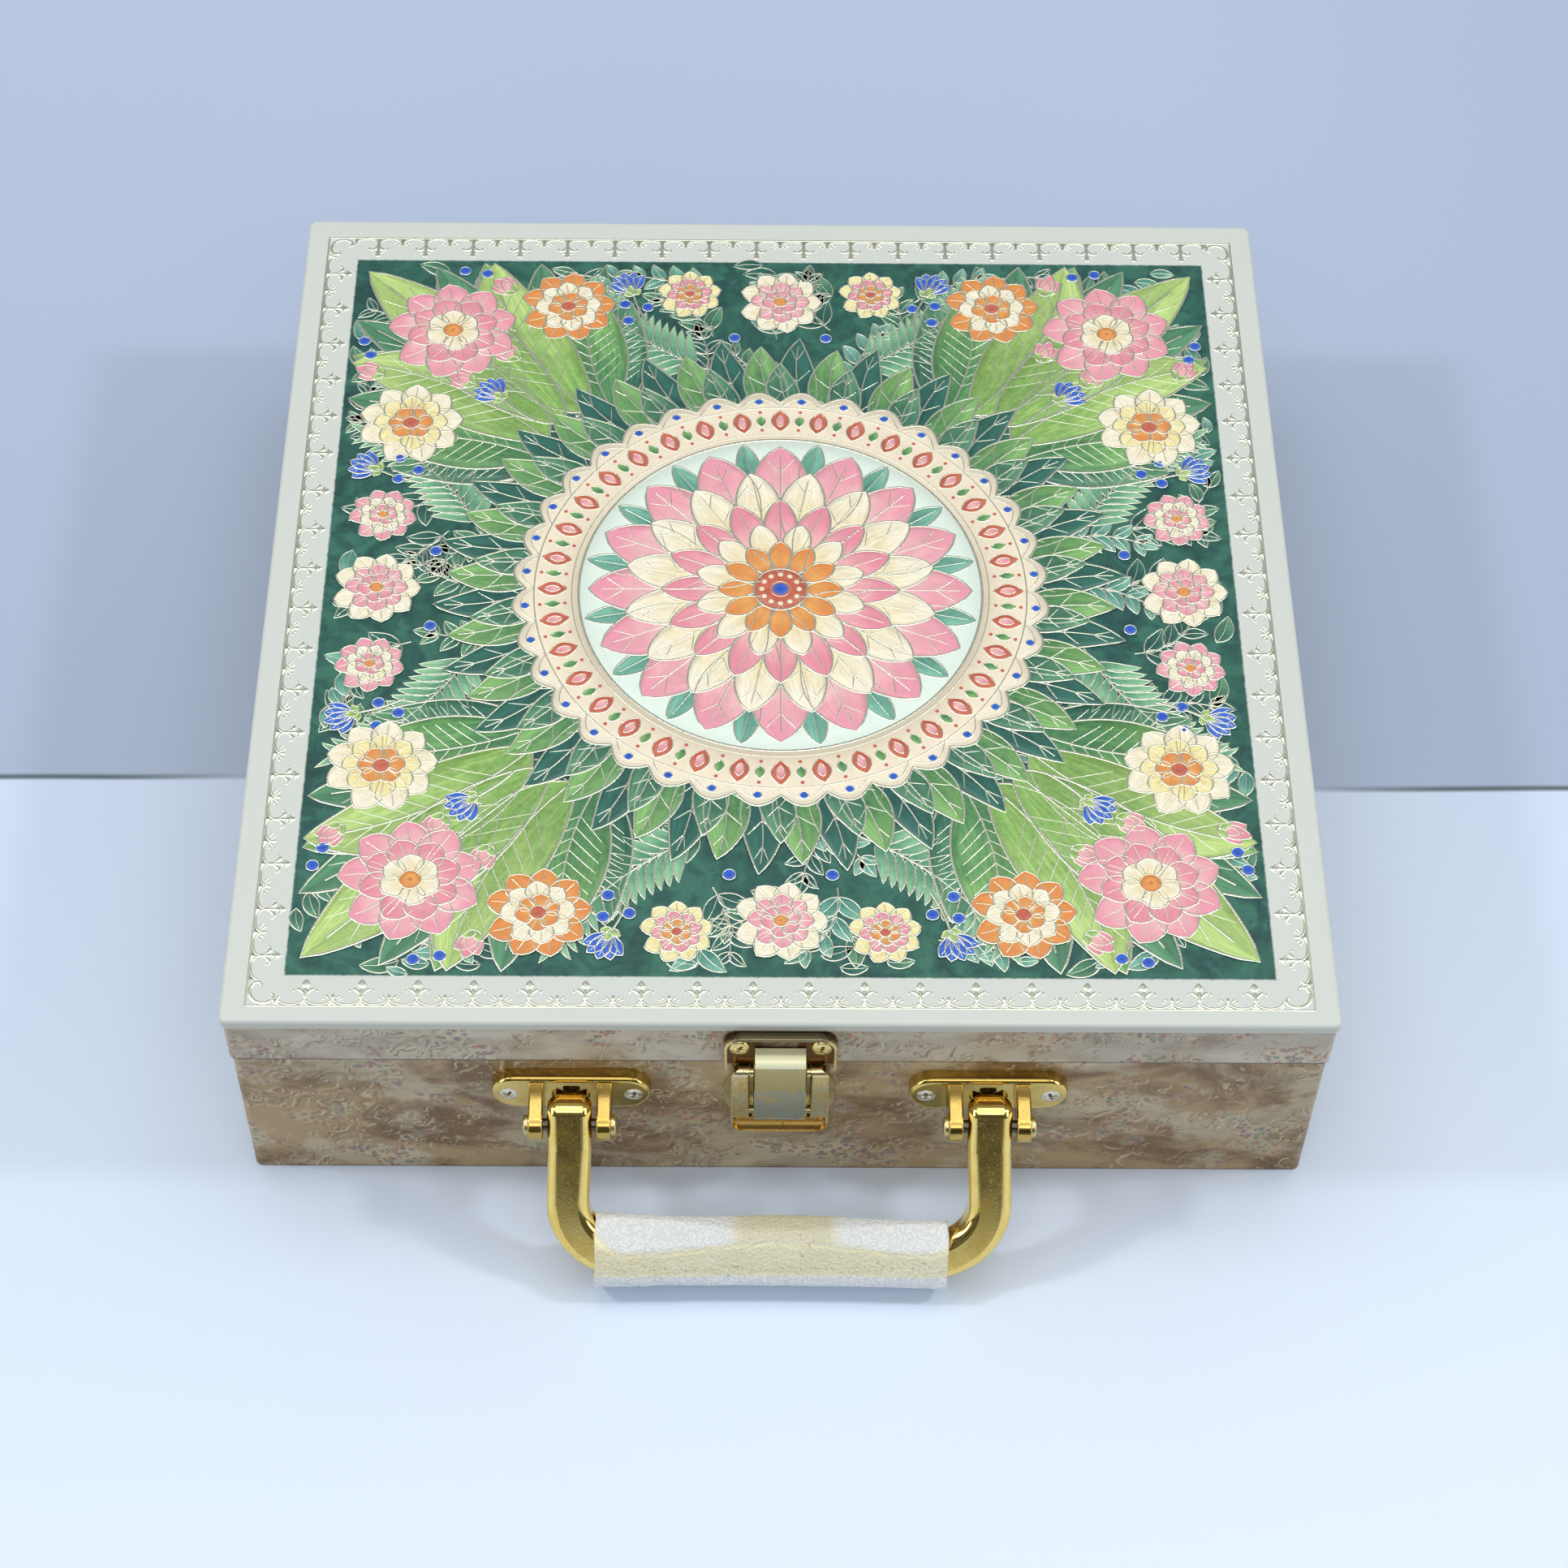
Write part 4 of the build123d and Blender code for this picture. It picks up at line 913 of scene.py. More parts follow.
CORNER_SCROLLS = (((1.2, 4.8), (0.6, 2.2), (3.4, 1.0), 0.8),       # without the swell
                  ((3.0, 1.0), (5.6, 0.6), (6.6, 2.4), 0.8),
                  ((6.2, 1.4), (7.2, 3.4), (5.4, 3.6), 0.7))
SCALLOP_HIGH, SCALLOP_DEEP = 2.5, 1.85     # a scallop's cusp, and how far its arc dips below it
BORDER_LINE, LINE_INSET, LINE_HIGH = 0.5, 0.25, 0.06
CORNER_MARGIN = 1.15                       # pitches left over for the two corners of a side
CORNER_LEAF_SHIFT = -0.4


class BorderSide:
    """One side of the foil border, drawn along +x with +y inward and then turned to its place."""

    def __init__(self, turn, reach, edge, middle, count):
        self.turn, self.reach, self.edge, self.middle = turn, reach, edge, middle
        pitch = 2 * reach / (count + CORNER_MARGIN)
        self.fleurs = (np.arange(count) - (count - 1) / 2) * pitch
        self.mounds = (np.arange(count + 1) - count / 2) * pitch
        self.parts, self.lines = [], []

    def placed(self, points):
        """The side's points turned round the border's middle."""
        c, s = math.cos(self.turn), math.sin(self.turn)
        x, y = points[..., 0], points[..., 1] - self.edge
        return np.stack([c * x - s * y, s * x + c * y + self.middle], -1)

    def line(self, path, width, **shape):
        """A foil line along a path of this side."""
        self.lines.append(bead(self.placed(path), width, layer(1), **shape))

    def scallops(self):
        """Foil from the edge line up to a half-ellipse arc between each two cusps."""
        cusps = np.sort(np.concatenate([self.fleurs, self.mounds]))
        first, last = cusps[:-1], cusps[1:]
        share = np.linspace(0, 1, 17)
        x = first[:, None] + (last - first)[:, None] * share
        top = SCALLOP_HIGH - SCALLOP_DEEP * np.sqrt(np.maximum(1 - (2 * share - 1) ** 2, 0))
        top = np.broadcast_to(top, x.shape)
        rows = np.stack([np.zeros_like(top), np.zeros_like(top), top, top], -1)
        flat = np.stack([np.broadcast_to(x[..., None], rows.shape), rows], -1)
        points = lifted(self.placed(flat), layer(1))
        points[..., 0, 2] = points[..., -1, 2] = SUNK
        self.parts.append(grid(points))
        self.line(np.array([[[end * self.reach, LINE_INSET] for end in (-1, -0.5, 0.5, 1)]]),
                  BORDER_LINE, height=LINE_HIGH)
        self.line(np.stack([x, top], -1), BORDER_LINE, height=LINE_HIGH)

    def motif(self, strokes, centres):
        """Domed strokes round each centre, each with its mirror image unless it is upright.

        A stroke is a bezier whose half width is width / 2 sin(pi s^fat)^0.7.
        """
        across = np.array([-1, -0.7, 0, 0.7, 1])
        rise = np.array([-0.1, 0.06, 0.1, 0.06, -0.1])
        s = np.linspace(0, 1, 11)
        shift = np.stack([centres, np.zeros_like(centres)], -1)
        for *bends, width, fat in strokes:
            upright = bends[1][0] == bends[2][0] == 0
            for way in (1,) if upright else (1, -1):
                spine = bezier(*[np.array(p, float) * [way, 1] + shift for p in bends], len(s))
                half = np.maximum(width / 2 * np.sin(np.pi * s ** fat) ** 0.7, 0.05)
                flat = (spine[:, :, None] + left_of(spine)[:, :, None]
                        * half[None, :, None, None] * across[None, None, :, None])
                points = lifted(self.placed(flat), layer(1))
                points[..., 2] += rise
                self.parts.append(grid(points[:, ::-1]))

    def corner_scrolls(self):
        """Half of each corner's scrolls belong to each side."""
        for *bends, width in CORNER_SCROLLS:
            for way in (1, -1):
                foot = np.array([[-way * self.reach, 0.0]])
                self.line(bezier(*[np.array(p, float) * [way, 1] + foot for p in bends], 13),
                          width, taper=True, height=0.1)


class SWEETBOX_OT_foil_border(Operator):
    """Stamped foil border: scallops, fleurs and small leaf curls along a fine line"""
    bl_idname = "sweetbox.foil_border"
    bl_label = "Foil border"

    def execute(self, context):
        prints = settings("print")
        half = np.array([prints.border_width, prints.border_depth]) / MM / 2
        flats, lines = [], []
        for quarter in range(4):
            reach, edge = half[::-1] if quarter % 2 else half
            side = BorderSide(quarter * TURN / 4, reach, edge, prints.panel_middle / MM,
                              prints.fleurs)
            side.scallops()
            side.motif(FLEUR, side.fleurs)
            side.motif(SPROUT, side.mounds[1:-1])
            side.motif(CORNER_LEAF, side.mounds[:1] + CORNER_LEAF_SHIFT)
            side.corner_scrolls()
            flats.extend(side.parts)
            lines.extend(side.lines)
        shine = foil_material("foil_border", prints.foil, 0.24)
        piece("foil_border", flats + lines, shine, "lid")
        return {"FINISHED"}


# Papers and boards

PAPER_HALF = [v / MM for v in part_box("body_wrap_paper")[1]]    # the body's outer faces, mm
LID_SHIFT = (173.0, 61.0)     # the lid's strips are cut from another place of the print, mm
FLOWER = 1.45                 # pitch of the tiny flowers, mm


def side_paper_material(paper):
    """Aged lace print: brown clouds, net lines, embossed braid with painted highlight and shade,
    and tiny flower sprays; painted shade at the seam, the foot and behind the brackets.
    """
    shader = Shader("side_paper_print")
    x, y, z = shader.place()
    lid = z.over(SEAM, 0.03)
    run, rise = x + y + lid * LID_SHIFT[0], z + lid * LID_SHIFT[1]
    at = shader.vector(run, rise)
    slanted = shader.vector(run * 0.62 + rise * 0.75, rise * 1.25 - run * 0.3)

    # clouds of brown, taupe and pale grey, drawn out on a slant
    cloud = shader.noise(slanted, 30.0, 5.0, 0.62, 0.7)
    patch = shader.noise(shader.vector(run + 311, rise * 1.5 + 57), 27.0, 4.0, 0.55, 0.5)
    tone = shader.coats(paper.brown, (cloud.over(0.48, 0.1), paper.taupe),
                        ((patch + lid * 0.05).over(0.55, 0.08) * 0.8, paper.haze),
                        (lid * (patch.over(0.4, 0.2) * 0.5 + 0.15), srgb(206, 202, 190)))

    # fine net: two sets of bent lines, with the dark holes between them
    warp = shader.noise(at, 16.0, 1.0) * 12.0
    pitch = TURN / (paper.hatch / MM)
    holes = (((rise * 0.9 + run * 0.42 + warp) * pitch).sine()
             * ((rise * 0.42 - run * 0.9 + warp) * pitch).sine())
    netted = (cloud - patch * 0.35).under(0.33, 0.06)

    # braid: cords round scattered points and in waves, with painted highlight and painted shade as
    # if lit from the upper left
    twisted = shader.noise(at, 8.0, 2.0, 0.5, 0, 1)
    bent = shader.node("ShaderNodeVectorMath", {"operation": "MULTIPLY_ADD"},
                       {0: twisted, 1: (9.0, 9.0, 9.0), 2: at})

    def braid(shift):
        spot = shader.node("ShaderNodeVectorMath", {"operation": "ADD"}, {0: bent, 1: shift})
        rings = abs(shader.cells(spot, 3.1) - 0.38).under(0.08, 0.1)
        waves = (shader.cells(spot, 9.5) * (TURN * 2.4)).sine().over(0.35, 0.45)
        return rings.high(waves * 0.9)

    laced = shader.noise(shader.vector(run - 91, rise * 1.4 + 400), 19.0, 2.0, 0.5, 0.6)
    laced = laced.over(0.5, 0.07)
    first, second = braid((-0.2, 0.2, 0.0)), braid((0.2, -0.2, 0.0))
    tone = shader.coats(tone, (holes.over(0.1, 0.5) * netted * 0.6, paper.shadow),
                        (laced * 0.14, paper.shadow),
                        ((second - first).high(0.0) * laced * 0.8, paper.lace_highlight),
                        ((first - second).high(0.0) * laced * 0.8, paper.shadow))

    # sprays of tiny flowers: each cell a bloom with a pale heart and a dark rim, or a leaf
    bloom = shader.noise(shader.vector(run + 37, rise * 1.3 - 222), 17.0, 2.0, 0.6)
    bloom = bloom.over(0.56, 0.04)
    who = shader.cells(at, FLOWER, "Color")
    pick, choose = (shader.node("ShaderNodeSeparateColor", None, {0: who}, k) for k in (0, 1))
    crinkle = shader.cells(at, FLOWER) + (shader.noise(at, 0.55, 1.0) - 0.5) * 0.5
    petals = crinkle.under(0.5, 0.08) * crinkle.over(0.13, 0.08)
    spray = petals * bloom * choose.over(0.1, 0.02)
    flower = shader.coats(paper.rust, (pick.over(0.38, 0.02), paper.plum),
                          (pick.over(0.62, 0.02), paper.sage))

    # painted shade in the gap at the seam and along the foot, worn corners, and painted shade for
    # the hole behind each bracket
    half_x, half_y = PAPER_HALF[:2]
    seam_and_foot_shade = abs(z - SEAM).under(0.38, 0.14).high(z.under(0.3, 0.3) * 0.8)
    outer = (abs(x) - (half_x - 0.4)).high(abs(y) - (half_y - 0.4)).over(0.0, 0.12)
    chafed = shader.noise(at, 2.4, 3.0).over(0.55, 0.1)
    corner = abs(x).over(half_x - 0.4, 0.25) * abs(y).over(half_y - 0.6, 0.3) * chafed
    # behind each bracket a near-black spot is painted on the paper: painted shade for the hole
    far_x, far_z = abs(x) - HANDLE_OFFSET, z - HANDLE_HEIGHT
    hole = (far_x * far_x + far_z * far_z).under(4.6, 0.8) * y.under(-120, 1)
    tone = shader.coats(tone, (bloom * 0.3, paper.haze), (spray * 0.72, flower),
                        (shader.noise(at, 0.7, 3.0).over(0.56, 0.2) * 0.16, paper.haze),
                        (seam_and_foot_shade * outer * 0.9, srgb(48, 38, 26)),
                        (corner * 0.5, srgb(214, 200, 172)), (hole * 0.93, srgb(16, 12, 8)))
    relief = holes * netted * -0.3 + (first + second) * laced + spray * 0.3
    return shader.done(colour=tone, rough=0.44, gloss=0.35, normal=shader.bump(relief, 0.3, 0.1))


def card_material(name, colour, fleck, size):
    """Plain paper or board: a flat colour with fine fibres and a few darker flecks."""
    shader = Shader(name)
    x, y, z = shader.place()
    fibre = shader.noise(shader.vector(x, y * 0.4, z), size, 4.0, 0.65)
    cloud = shader.noise(shader.vector(x, y, z), 30.0, 2.0)
    tone = shader.coats(colour, (fibre.over(0.52, 0.2) * 0.45, fleck),
                        (cloud.over(0.5, 0.3) * 0.2, paler(colour, 1.12)))
    return shader.done(colour=tone, rough=0.75, normal=shader.bump(fibre, 0.15, 0.06))


# material, colour, flecks, size of the fibres, nodes
CARDS = (("fibre_board", srgb(150, 118, 84), srgb(112, 84, 58), 1.4,
          ("base_board", "front_wall_board", "back_wall_board", "left_wall_board",
           "right_wall_board", "lid_top_board", "lid_front_board", "lid_back_board",
           "lid_left_board", "lid_right_board")),
         ("lining_paper", srgb(232, 226, 208), srgb(214, 205, 182), 0.8,
          ("body_lining", "base_lining_card", "lid_lining")),
         ("divider_card", srgb(226, 216, 192), srgb(198, 184, 154), 1.0,
          ("divider_front", "divider_back", "divider_left", "divider_right")))


class SWEETBOX_OT_papers(Operator):
    """Side papers, linings, dividers and the bare boards"""
    bl_idname = "sweetbox.papers"
    bl_label = "Papers and boards"

    def execute(self, context):
        dress(side_paper_material(settings("paper")), "body_wrap_paper", "lid_side_paper")
        for *look, nodes in CARDS:
            dress(card_material(*look), *nodes)
        return {"FINISHED"}


# Metals

def metal_material(name, colour, rough, scratch=0.3, tarnish=None, grain=0.0, specks=0.0,
                   patches=None, fewer=0.0, regions=(), matt=None, recess_shade=False):
    """Plated metal: scratches along one way, clouds of tarnish, worn patches and specks.

    A region is (axis, edge, soft, colour, share): the metal turns to that colour past the edge,
    or before it where the share is negative. Above the height matt the metal scatters light,
    and so is as bright as its colour. The recess of a cross-head screw can be darkened with
    painted shade.
    """
    shader = Shader(name)
    spot = shader.place()
    x, y, z = spot
    at = shader.vector(x, y, z)
    cloud = shader.noise(at, 5.0, 3.0, 0.6)
    fine = shader.noise(shader.vector(x * 2.4, y * 2.4, z * 0.25), 0.8, 2.0, 0.6)
    coats = []
    if tarnish is not None:
        coats.append((cloud.over(0.55, 0.16) * 0.6, tarnish))
    if patches is not None:
        worn = shader.noise(shader.vector(x, y, z * 1.2), 4.6, 3.0, 0.6, 0.8)
        coats.append((worn.over(0.56 + fewer, 0.05) * 0.75, patches))
    for axis, edge, soft, other, share in regions:
        side = spot[axis].over(edge, soft) if share > 0 else spot[axis].under(edge, soft)
        coats.append((side * abs(share), other))
    mark = fine.over(0.64, 0.05) * scratch
    roughness = (cloud - 0.5) * 0.12 + mark * 0.3 + rough
    if specks:
        dots = shader.cells(at, 0.75).under(0.2, 0.06)
        dots = dots * shader.noise(at, 3.0, 2.0).over(0.56, 0.06)
        coats.append((dots * specks, srgb(58, 46, 30)))
        roughness = roughness + dots * 0.3
    # painted shade in the cross recess, where the UV map's first part marks its depth
    if recess_shade:
        coats.append((shader.along(0).over(0.5, 0.12) * 0.85, srgb(46, 36, 22)))
    relief = fine * scratch
    if grain:
        relief = relief + shader.noise(at, 0.4, 2.0) * grain
    metal = 1.0 if matt is None else 1 - z.over(matt, 0.3)
    return shader.done(colour=shader.coats(tuple(colour), *coats), metal=metal, rough=roughness,
                       normal=shader.bump(relief, 0.25, 0.04))


RECESS_LONG, RECESS_WIDE, RECESS_DEEP = 0.56, 0.15, 0.42      # shares of the head's radius


def cross_heads(name, node, across, face, way, radius, side, dome, material, body):
    """Cross-recess screw heads that stand for a CAD node of screws, at its boxes' mid height.

    On a polar grid the height is side + dome (1 - r^2.4), less the recess: two crossed bars,
    deepest in the middle. The last rows drop to the face and a little below it. The UV map's
    first part is the depth of the recess, for the material.
    """
    share = np.concatenate([[0.0], np.linspace(0.04, 0.93, 22), [0.98, 1.0, 1.0]])
    a, r = np.meshgrid(around(96), share, indexing="ij")
    height = centre_of(node)[2]
    parts = []
    for k, centre in enumerate(across):
        spin = 0.5 + 1.3 * k
        u, v = r * np.cos(a + spin), r * np.sin(a + spin)
        arm = np.minimum(np.maximum(abs(u) / RECESS_LONG, abs(v) / RECESS_WIDE),
                         np.maximum(abs(v) / RECESS_LONG, abs(u) / RECESS_WIDE))
        dip = np.clip((1.2 - arm) / 0.4, 0, 1)
        dip = dip * dip * (3 - 2 * dip) * (1 - 0.75 * np.clip(r / 0.6, 0, 1))
        out = side + dome * (1 - r ** 2.4) - dip * radius * RECESS_DEEP
        out[:, -3] -= 0.02
        out[:, -1] = -0.12
        points = np.stack([centre + radius * r * np.cos(a), face + way * out,
                           height + radius * r * np.sin(a)], -1)
        parts.append(grid(points, np.stack([dip, r], -1)[None], loop_rows=True))
    head = piece(name, parts, material, body, flip=way > 0, weld=True)
    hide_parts(node)


BRACKET_FACE, BRACKET_PITCH, BRACKET_HEAD = -130.3, 29.0, 2.22    # plate, screws apart, radius
PIN_STUB = 8.0                                                    # half length inside the ears


def pin_material():
    """Bare steel between a bracket's ears, gilt at the pin's two ends, pitted all over."""
    shader = Shader("pin_metal")
    x, y, z = shader.place()
    outside = abs(abs(x) - HANDLE_OFFSET).over(PIN_STUB, 0.4)
    tone = shader.mix(outside, srgb(92, 88, 78), srgb(200, 184, 132))
    pitted = shader.noise(shader.vector(x, y, z), 0.6, 2.0)
    return shader.done(colour=tone, metal=1.0, rough=pitted * 0.2 + 0.22,
                       normal=shader.bump(pitted, 0.3, 0.04))


class SWEETBOX_OT_handle(Operator):
    """Cast handle, its brackets, pins and cross-head screws"""
    bl_idname = "sweetbox.handle"
    bl_label = "Handle"

    def execute(self, context):
        metal = settings("metal")
        dress(metal_material("handle_gold", metal.gold, 0.09, tarnish=srgb(236, 196, 92),
                             specks=0.25), "handle_bail")
        # the brackets' gold is painted darker than the handle's, and darker again on their tops
        # and ears: painted shade
        shade = ((2, 44.4, 0.2, srgb(176, 146, 76), 0.8),
                 (1, -131.5, 0.6, srgb(172, 142, 72), -0.6))
        dress(metal_material("bracket_gold", srgb(218, 190, 112), 0.13, tarnish=srgb(188, 158, 84),
                             grain=0.9, specks=0.3, regions=shade),
              "handle_left_bracket", "handle_right_bracket")
        dress(pin_material(), "handle_left_pin", "handle_right_pin")
        nickel = metal_material("screw_nickel", metal.nickel, 0.2, tarnish=srgb(150, 140, 118),
                                grain=0.3, specks=0.4, recess_shade=True)
        across = [side * HANDLE_OFFSET + end * BRACKET_PITCH / 2
                  for side in (-1, 1) for end in (-1, 1)]
        cross_heads("handle_cross_heads", "handle_bracket_screws", across, BRACKET_FACE, -1,
                    BRACKET_HEAD, 0.02, 0.28, nickel, "tray")
        return {"FINISHED"}


# The foam sleeve. Its reach is the distance below the handle's pin, along the arms, in mm.

LEAN = math.radians(30.25)                  # the arms' lean at rest, forward from straight down
SLEEVE_LEFT, SLEEVE_RIGHT = -43.2, 39.5
SLEEVE_WALL = 0.75
SLEEVE_STEPS, SLEEVE_SIDES = 121, 96        # rings along the grip, points round each
ARCH_HALF, ARCH_RISE = 34.0, 2.8            # the fin's crest arches up over the snug middle
FIN_TOP, FIN_THIN = 29.4, 0.62              # reach of the crest, and how much thinner the fin is
KNEE_TOP, KNEE_THIN = 39.8, 0.35            # the same for the fold below the grip


def foam_material():
    """Packing foam: white and pored where it is loose; round the grip the gold's light through the
    foam is painted in yellow, with painted highlight lines along the grip's edges.
    """
    shader = Shader("packing_foam")
    x, y, z = shader.place()
    at = shader.vector(x, y, z)
    reach = (y - PIN_Y) * -math.sin(LEAN) - (z - HANDLE_HEIGHT) * math.cos(LEAN)
    held = x.low(ARCH_HALF).high(-ARCH_HALF)
    crown = ((held * (TURN / (2 * ARCH_HALF)) + math.pi / 2).sine() + 1) * 0.5
    ends = (abs(x) - 35.0).high(0.0)
    upper = crown * -ARCH_RISE - ends * ends * 0.068 + 29.6
    wobble = (shader.noise(at, 3.0, 2.0) - 0.5) * 0.7
    below, above = reach - upper + wobble, 36.8 - reach + wobble
    bubbles = shader.cells(at, 0.8)
    grain = shader.noise(at, 0.55, 3.0, 0.7)
    # where the foam lies over the grip, a painted yellow band stands for the gold seen through it
    snug = abs(x - 1.4).under(12.0, 2.6) * below.under(1.2, 1.2)
    shown = (below.over(0.6, 0.9) * above.over(0.2, 0.9)).high(snug)
    cloud = shader.noise(shader.vector(x, y * 2, z * 2), 8.0, 3.0)
    yellow = shader.coats(srgb(242, 236, 198), (cloud.over(0.5, 0.2) * 0.5, srgb(230, 218, 164)),
                          (snug, srgb(218, 214, 178)))
    # painted highlight lines along the grip's upper and lower edges, as seen through the foam
    grip_highlights = abs(below - 1.7).under(0.35, 0.35).high(abs(above - 0.3).under(0.3, 0.4) * 0.6)
    specks = grain.over(0.56, 0.05) * bubbles.under(0.5, 0.1)
    dirt = abs(above - 2.2).under(0.9, 0.9) * 0.6 + shown * 0.14
    brown = shader.noise(at, 1.6, 1.0).over(0.72, 0.03) * shown
    blue = shader.noise(at, 2.6, 1.0).over(0.72, 0.03) * abs(reach - 37.0).under(1.2, 0.8)
    pores = bubbles.over(0.44, 0.1) * (1 - shown * 0.6)
    glints = shader.cells(at, 0.6).under(0.2, 0.08) * (1 - shown * 0.5)
    tone = shader.coats(srgb(240, 243, 244), (shown * 0.9, yellow),
                        (grip_highlights, srgb(255, 246, 205)), (specks * dirt, srgb(126, 112, 80)),
                        (brown * 0.5, srgb(176, 140, 80)), (blue * 0.45, srgb(110, 130, 190)),
                        (pores * 0.24, srgb(164, 167, 168)), (glints * 0.8, srgb(255, 255, 255)))
    return shader.done(colour=tone, rough=0.3 + grain * 0.2, soft=0.1, soft_scale=0.002,
                       normal=shader.bump(bubbles * -1 + grain, 0.8, 0.4))


def smooth(share):
    """A smooth step: 3 s^2 - 2 s^3."""
    return share * share * (3 - 2 * share)


def foam_skins():
    """The sleeve's outer and inner skin, as one closed grid along the grip and round it.

    At each place along the grip it is |u/a|^p + |v/b|^p = 1 between a top and a bottom,
    thinned to a fin above the grip and to a fold below it, with shallow sine creases.
    """
    left, right = SLEEVE_LEFT, SLEEVE_RIGHT
    place = np.linspace(left, right, SLEEVE_STEPS)
    # the top and the bottom follow the photographed edges, smoothed over five steps
    top = np.interp(place, [left, -12, 15, right], [23.4, 25.55, 25.55, 25.5])
    bottom = np.interp(place, [left, -27, -8, 20, right], [41.9, 40.9, 40.75, 41.2, 42.1])
    soften = np.array([1, 2, 3, 2, 1]) / 9
    top, bottom = (np.convolve(np.pad(v, 2, "edge"), soften, "valid") for v in (top, bottom))
    half_v = np.interp(place, [left, -12, 14, right], [6.6, 5.7, 5.7, 6.2])
    square = np.interp(place, [left, -12, 14, right], [3.0, 4.2, 4.2, 3.2])
    arch = np.clip(place, -ARCH_HALF, ARCH_HALF) * math.pi / (2 * ARCH_HALF)
    crest = FIN_TOP - ARCH_RISE * np.cos(arch) ** 2
    t = around(SLEEVE_SIDES)

    def skin(inset):
        """Reach and half thickness of the ring at each place, inset from the outer skin."""
        centre, half_u = (top + bottom) / 2, (bottom - top) / 2 - inset
        power = 2 / square[:, None]
        u = -np.sign(np.cos(t)) * np.abs(np.cos(t)) ** power * half_u[:, None]
        v = np.sign(np.sin(t)) * np.abs(np.sin(t)) ** power * (half_v - inset)[:, None]
        reach = centre[:, None] + u
        rise = np.clip((reach - top[:, None]) / (crest - top + 0.8)[:, None], 0, 1)
        high_fin = np.clip((crest - top - 0.9) / 3, 0, 1)[:, None]
        fin = 1 - FIN_THIN * (1 - smooth(rise)) * high_fin
        lower = np.clip((reach - KNEE_TOP) / (bottom - KNEE_TOP)[:, None], 0, 1)
        return reach, v * fin * (1 - KNEE_THIN * lower ** 2)

    rng = np.random.default_rng(5)
    grid_s, grid_t = np.meshgrid(np.linspace(0, 1, SLEEVE_STEPS), t, indexing="ij")
    waves = (rng.uniform(0.02, 0.07, 12), rng.uniform(2, 16, 12), rng.uniform(0, 1, 12),
             rng.integers(0, 7, 12))
    crease = sum(high * np.sin(TURN * (often * grid_s + phase) + folds * grid_t)
                 for high, often, phase, folds in zip(*waves))
    crease = crease * np.interp(place, [left, -16, -8, 12, 20, right],
                                [1.6, 1.2, 0.5, 0.5, 1.2, 1.5])[:, None]
    rows = []
    for inset, flip in ((0.0, 1), (SLEEVE_WALL, -1)):
        reach, across = skin(inset)
        across = across + np.sign(across) * np.abs(crease)
        at_x = np.repeat(place[:, None], SLEEVE_SIDES, 1)
        at_x[0] += 0.5 * np.sin(t + 1.0) + 0.18 * np.sin(5 * t)
        at_x[-1] -= 0.15 * np.sin(4 * t + 1) + 0.1
        points = np.stack([at_x, PIN_Y - math.sin(LEAN) * reach - math.cos(LEAN) * across,
                           HANDLE_HEIGHT - math.cos(LEAN) * reach + math.sin(LEAN) * across], -1)
        rows.append(points[::flip])
    return grid(np.concatenate(rows), loop_rows=True, loop_columns=True)


class SWEETBOX_OT_foam_sleeve(Operator):
    """Loose packing foam round the grip: snug in the middle, flat fins towards the ends"""
    bl_idname = "sweetbox.foam_sleeve"
    bl_label = "Foam sleeve"

    def execute(self, context):
        thing = piece("foam_sleeve", [foam_skins()], foam_material(), "handle")
        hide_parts("handle_foam_sleeve")
        return {"FINISHED"}


CATCH_SCREW, CATCH_FACE, CATCH_HEAD = 9.4, -128.3, 2.25       # offset, plate, radius
TONGUE_TOP = 54.4                                             # where its top slope begins, painted pale as a highlight


class SWEETBOX_OT_latch(Operator):
    """Draw latch: base, lever, link, hooked tongue and catch"""
    bl_idname = "sweetbox.latch"
    bl_label = "Latch"

    def execute(self, context):
        metal = settings("metal")
        dress(metal_material("latch_base_brass", metal.brass, 0.24, 0.4, srgb(176, 150, 92), 0.2),
              "latch_base_plate", "latch_pivot_stubs", "latch_base_screws")
        # below the height 27.6 the lever's finger scoop turns a deeper orange gold: painted shade
        dress(metal_material("latch_lever_brass", srgb(222, 206, 158), 0.27, 0.5,
                             srgb(196, 190, 168), 0.25, 0.75, srgb(222, 188, 116),
                             regions=((2, 27.6, 0.25, srgb(206, 160, 78), -0.9),)), "latch_lever")
        # above TONGUE_TOP the tongue is pale and not metal: a painted highlight on its top slope
        dress(metal_material("latch_tongue_brass", srgb(186, 178, 138), 0.22, 0.5,
                             srgb(186, 176, 136), 0.15, 0.3, matt=TONGUE_TOP,
                             regions=((2, TONGUE_TOP, 0.3, srgb(252, 250, 206), 1.0),)),
              "latch_tongue")
        shade = ((1, -129.3, 0.35, srgb(84, 48, 18), 0.93),
                 (2, 61.6, 0.3, srgb(104, 96, 76), 0.85))
        dress(metal_material("latch_catch_brass", metal.brass, 0.2, 0.35, srgb(176, 156, 104),
                             0.3, 0.35, regions=shade), "latch_catch_plate")
        dress(metal_material("latch_link_worn", metal.worn, 0.3, 0.5, srgb(160, 168, 168), 0.2,
                             0.3, srgb(214, 188, 124), 0.02), "latch_link")
        dress(metal_material("latch_pin_steel", srgb(170, 160, 130), 0.3), "latch_link_pin")
        yellow = metal_material("catch_screw_brass", srgb(232, 214, 144), 0.2,
                                tarnish=srgb(190, 160, 92), recess_shade=True)
        cross_heads("catch_cross_heads", "latch_catch_screws", (-CATCH_SCREW, CATCH_SCREW),
                    CATCH_FACE, -1, CATCH_HEAD, 1.0, 0.3, yellow, "lid")
        return {"FINISHED"}


HINGE_PITCH, HINGE_HEAD, LEAF_THICK = 16.0, 1.68, 0.8         # screws apart, radius, leaf


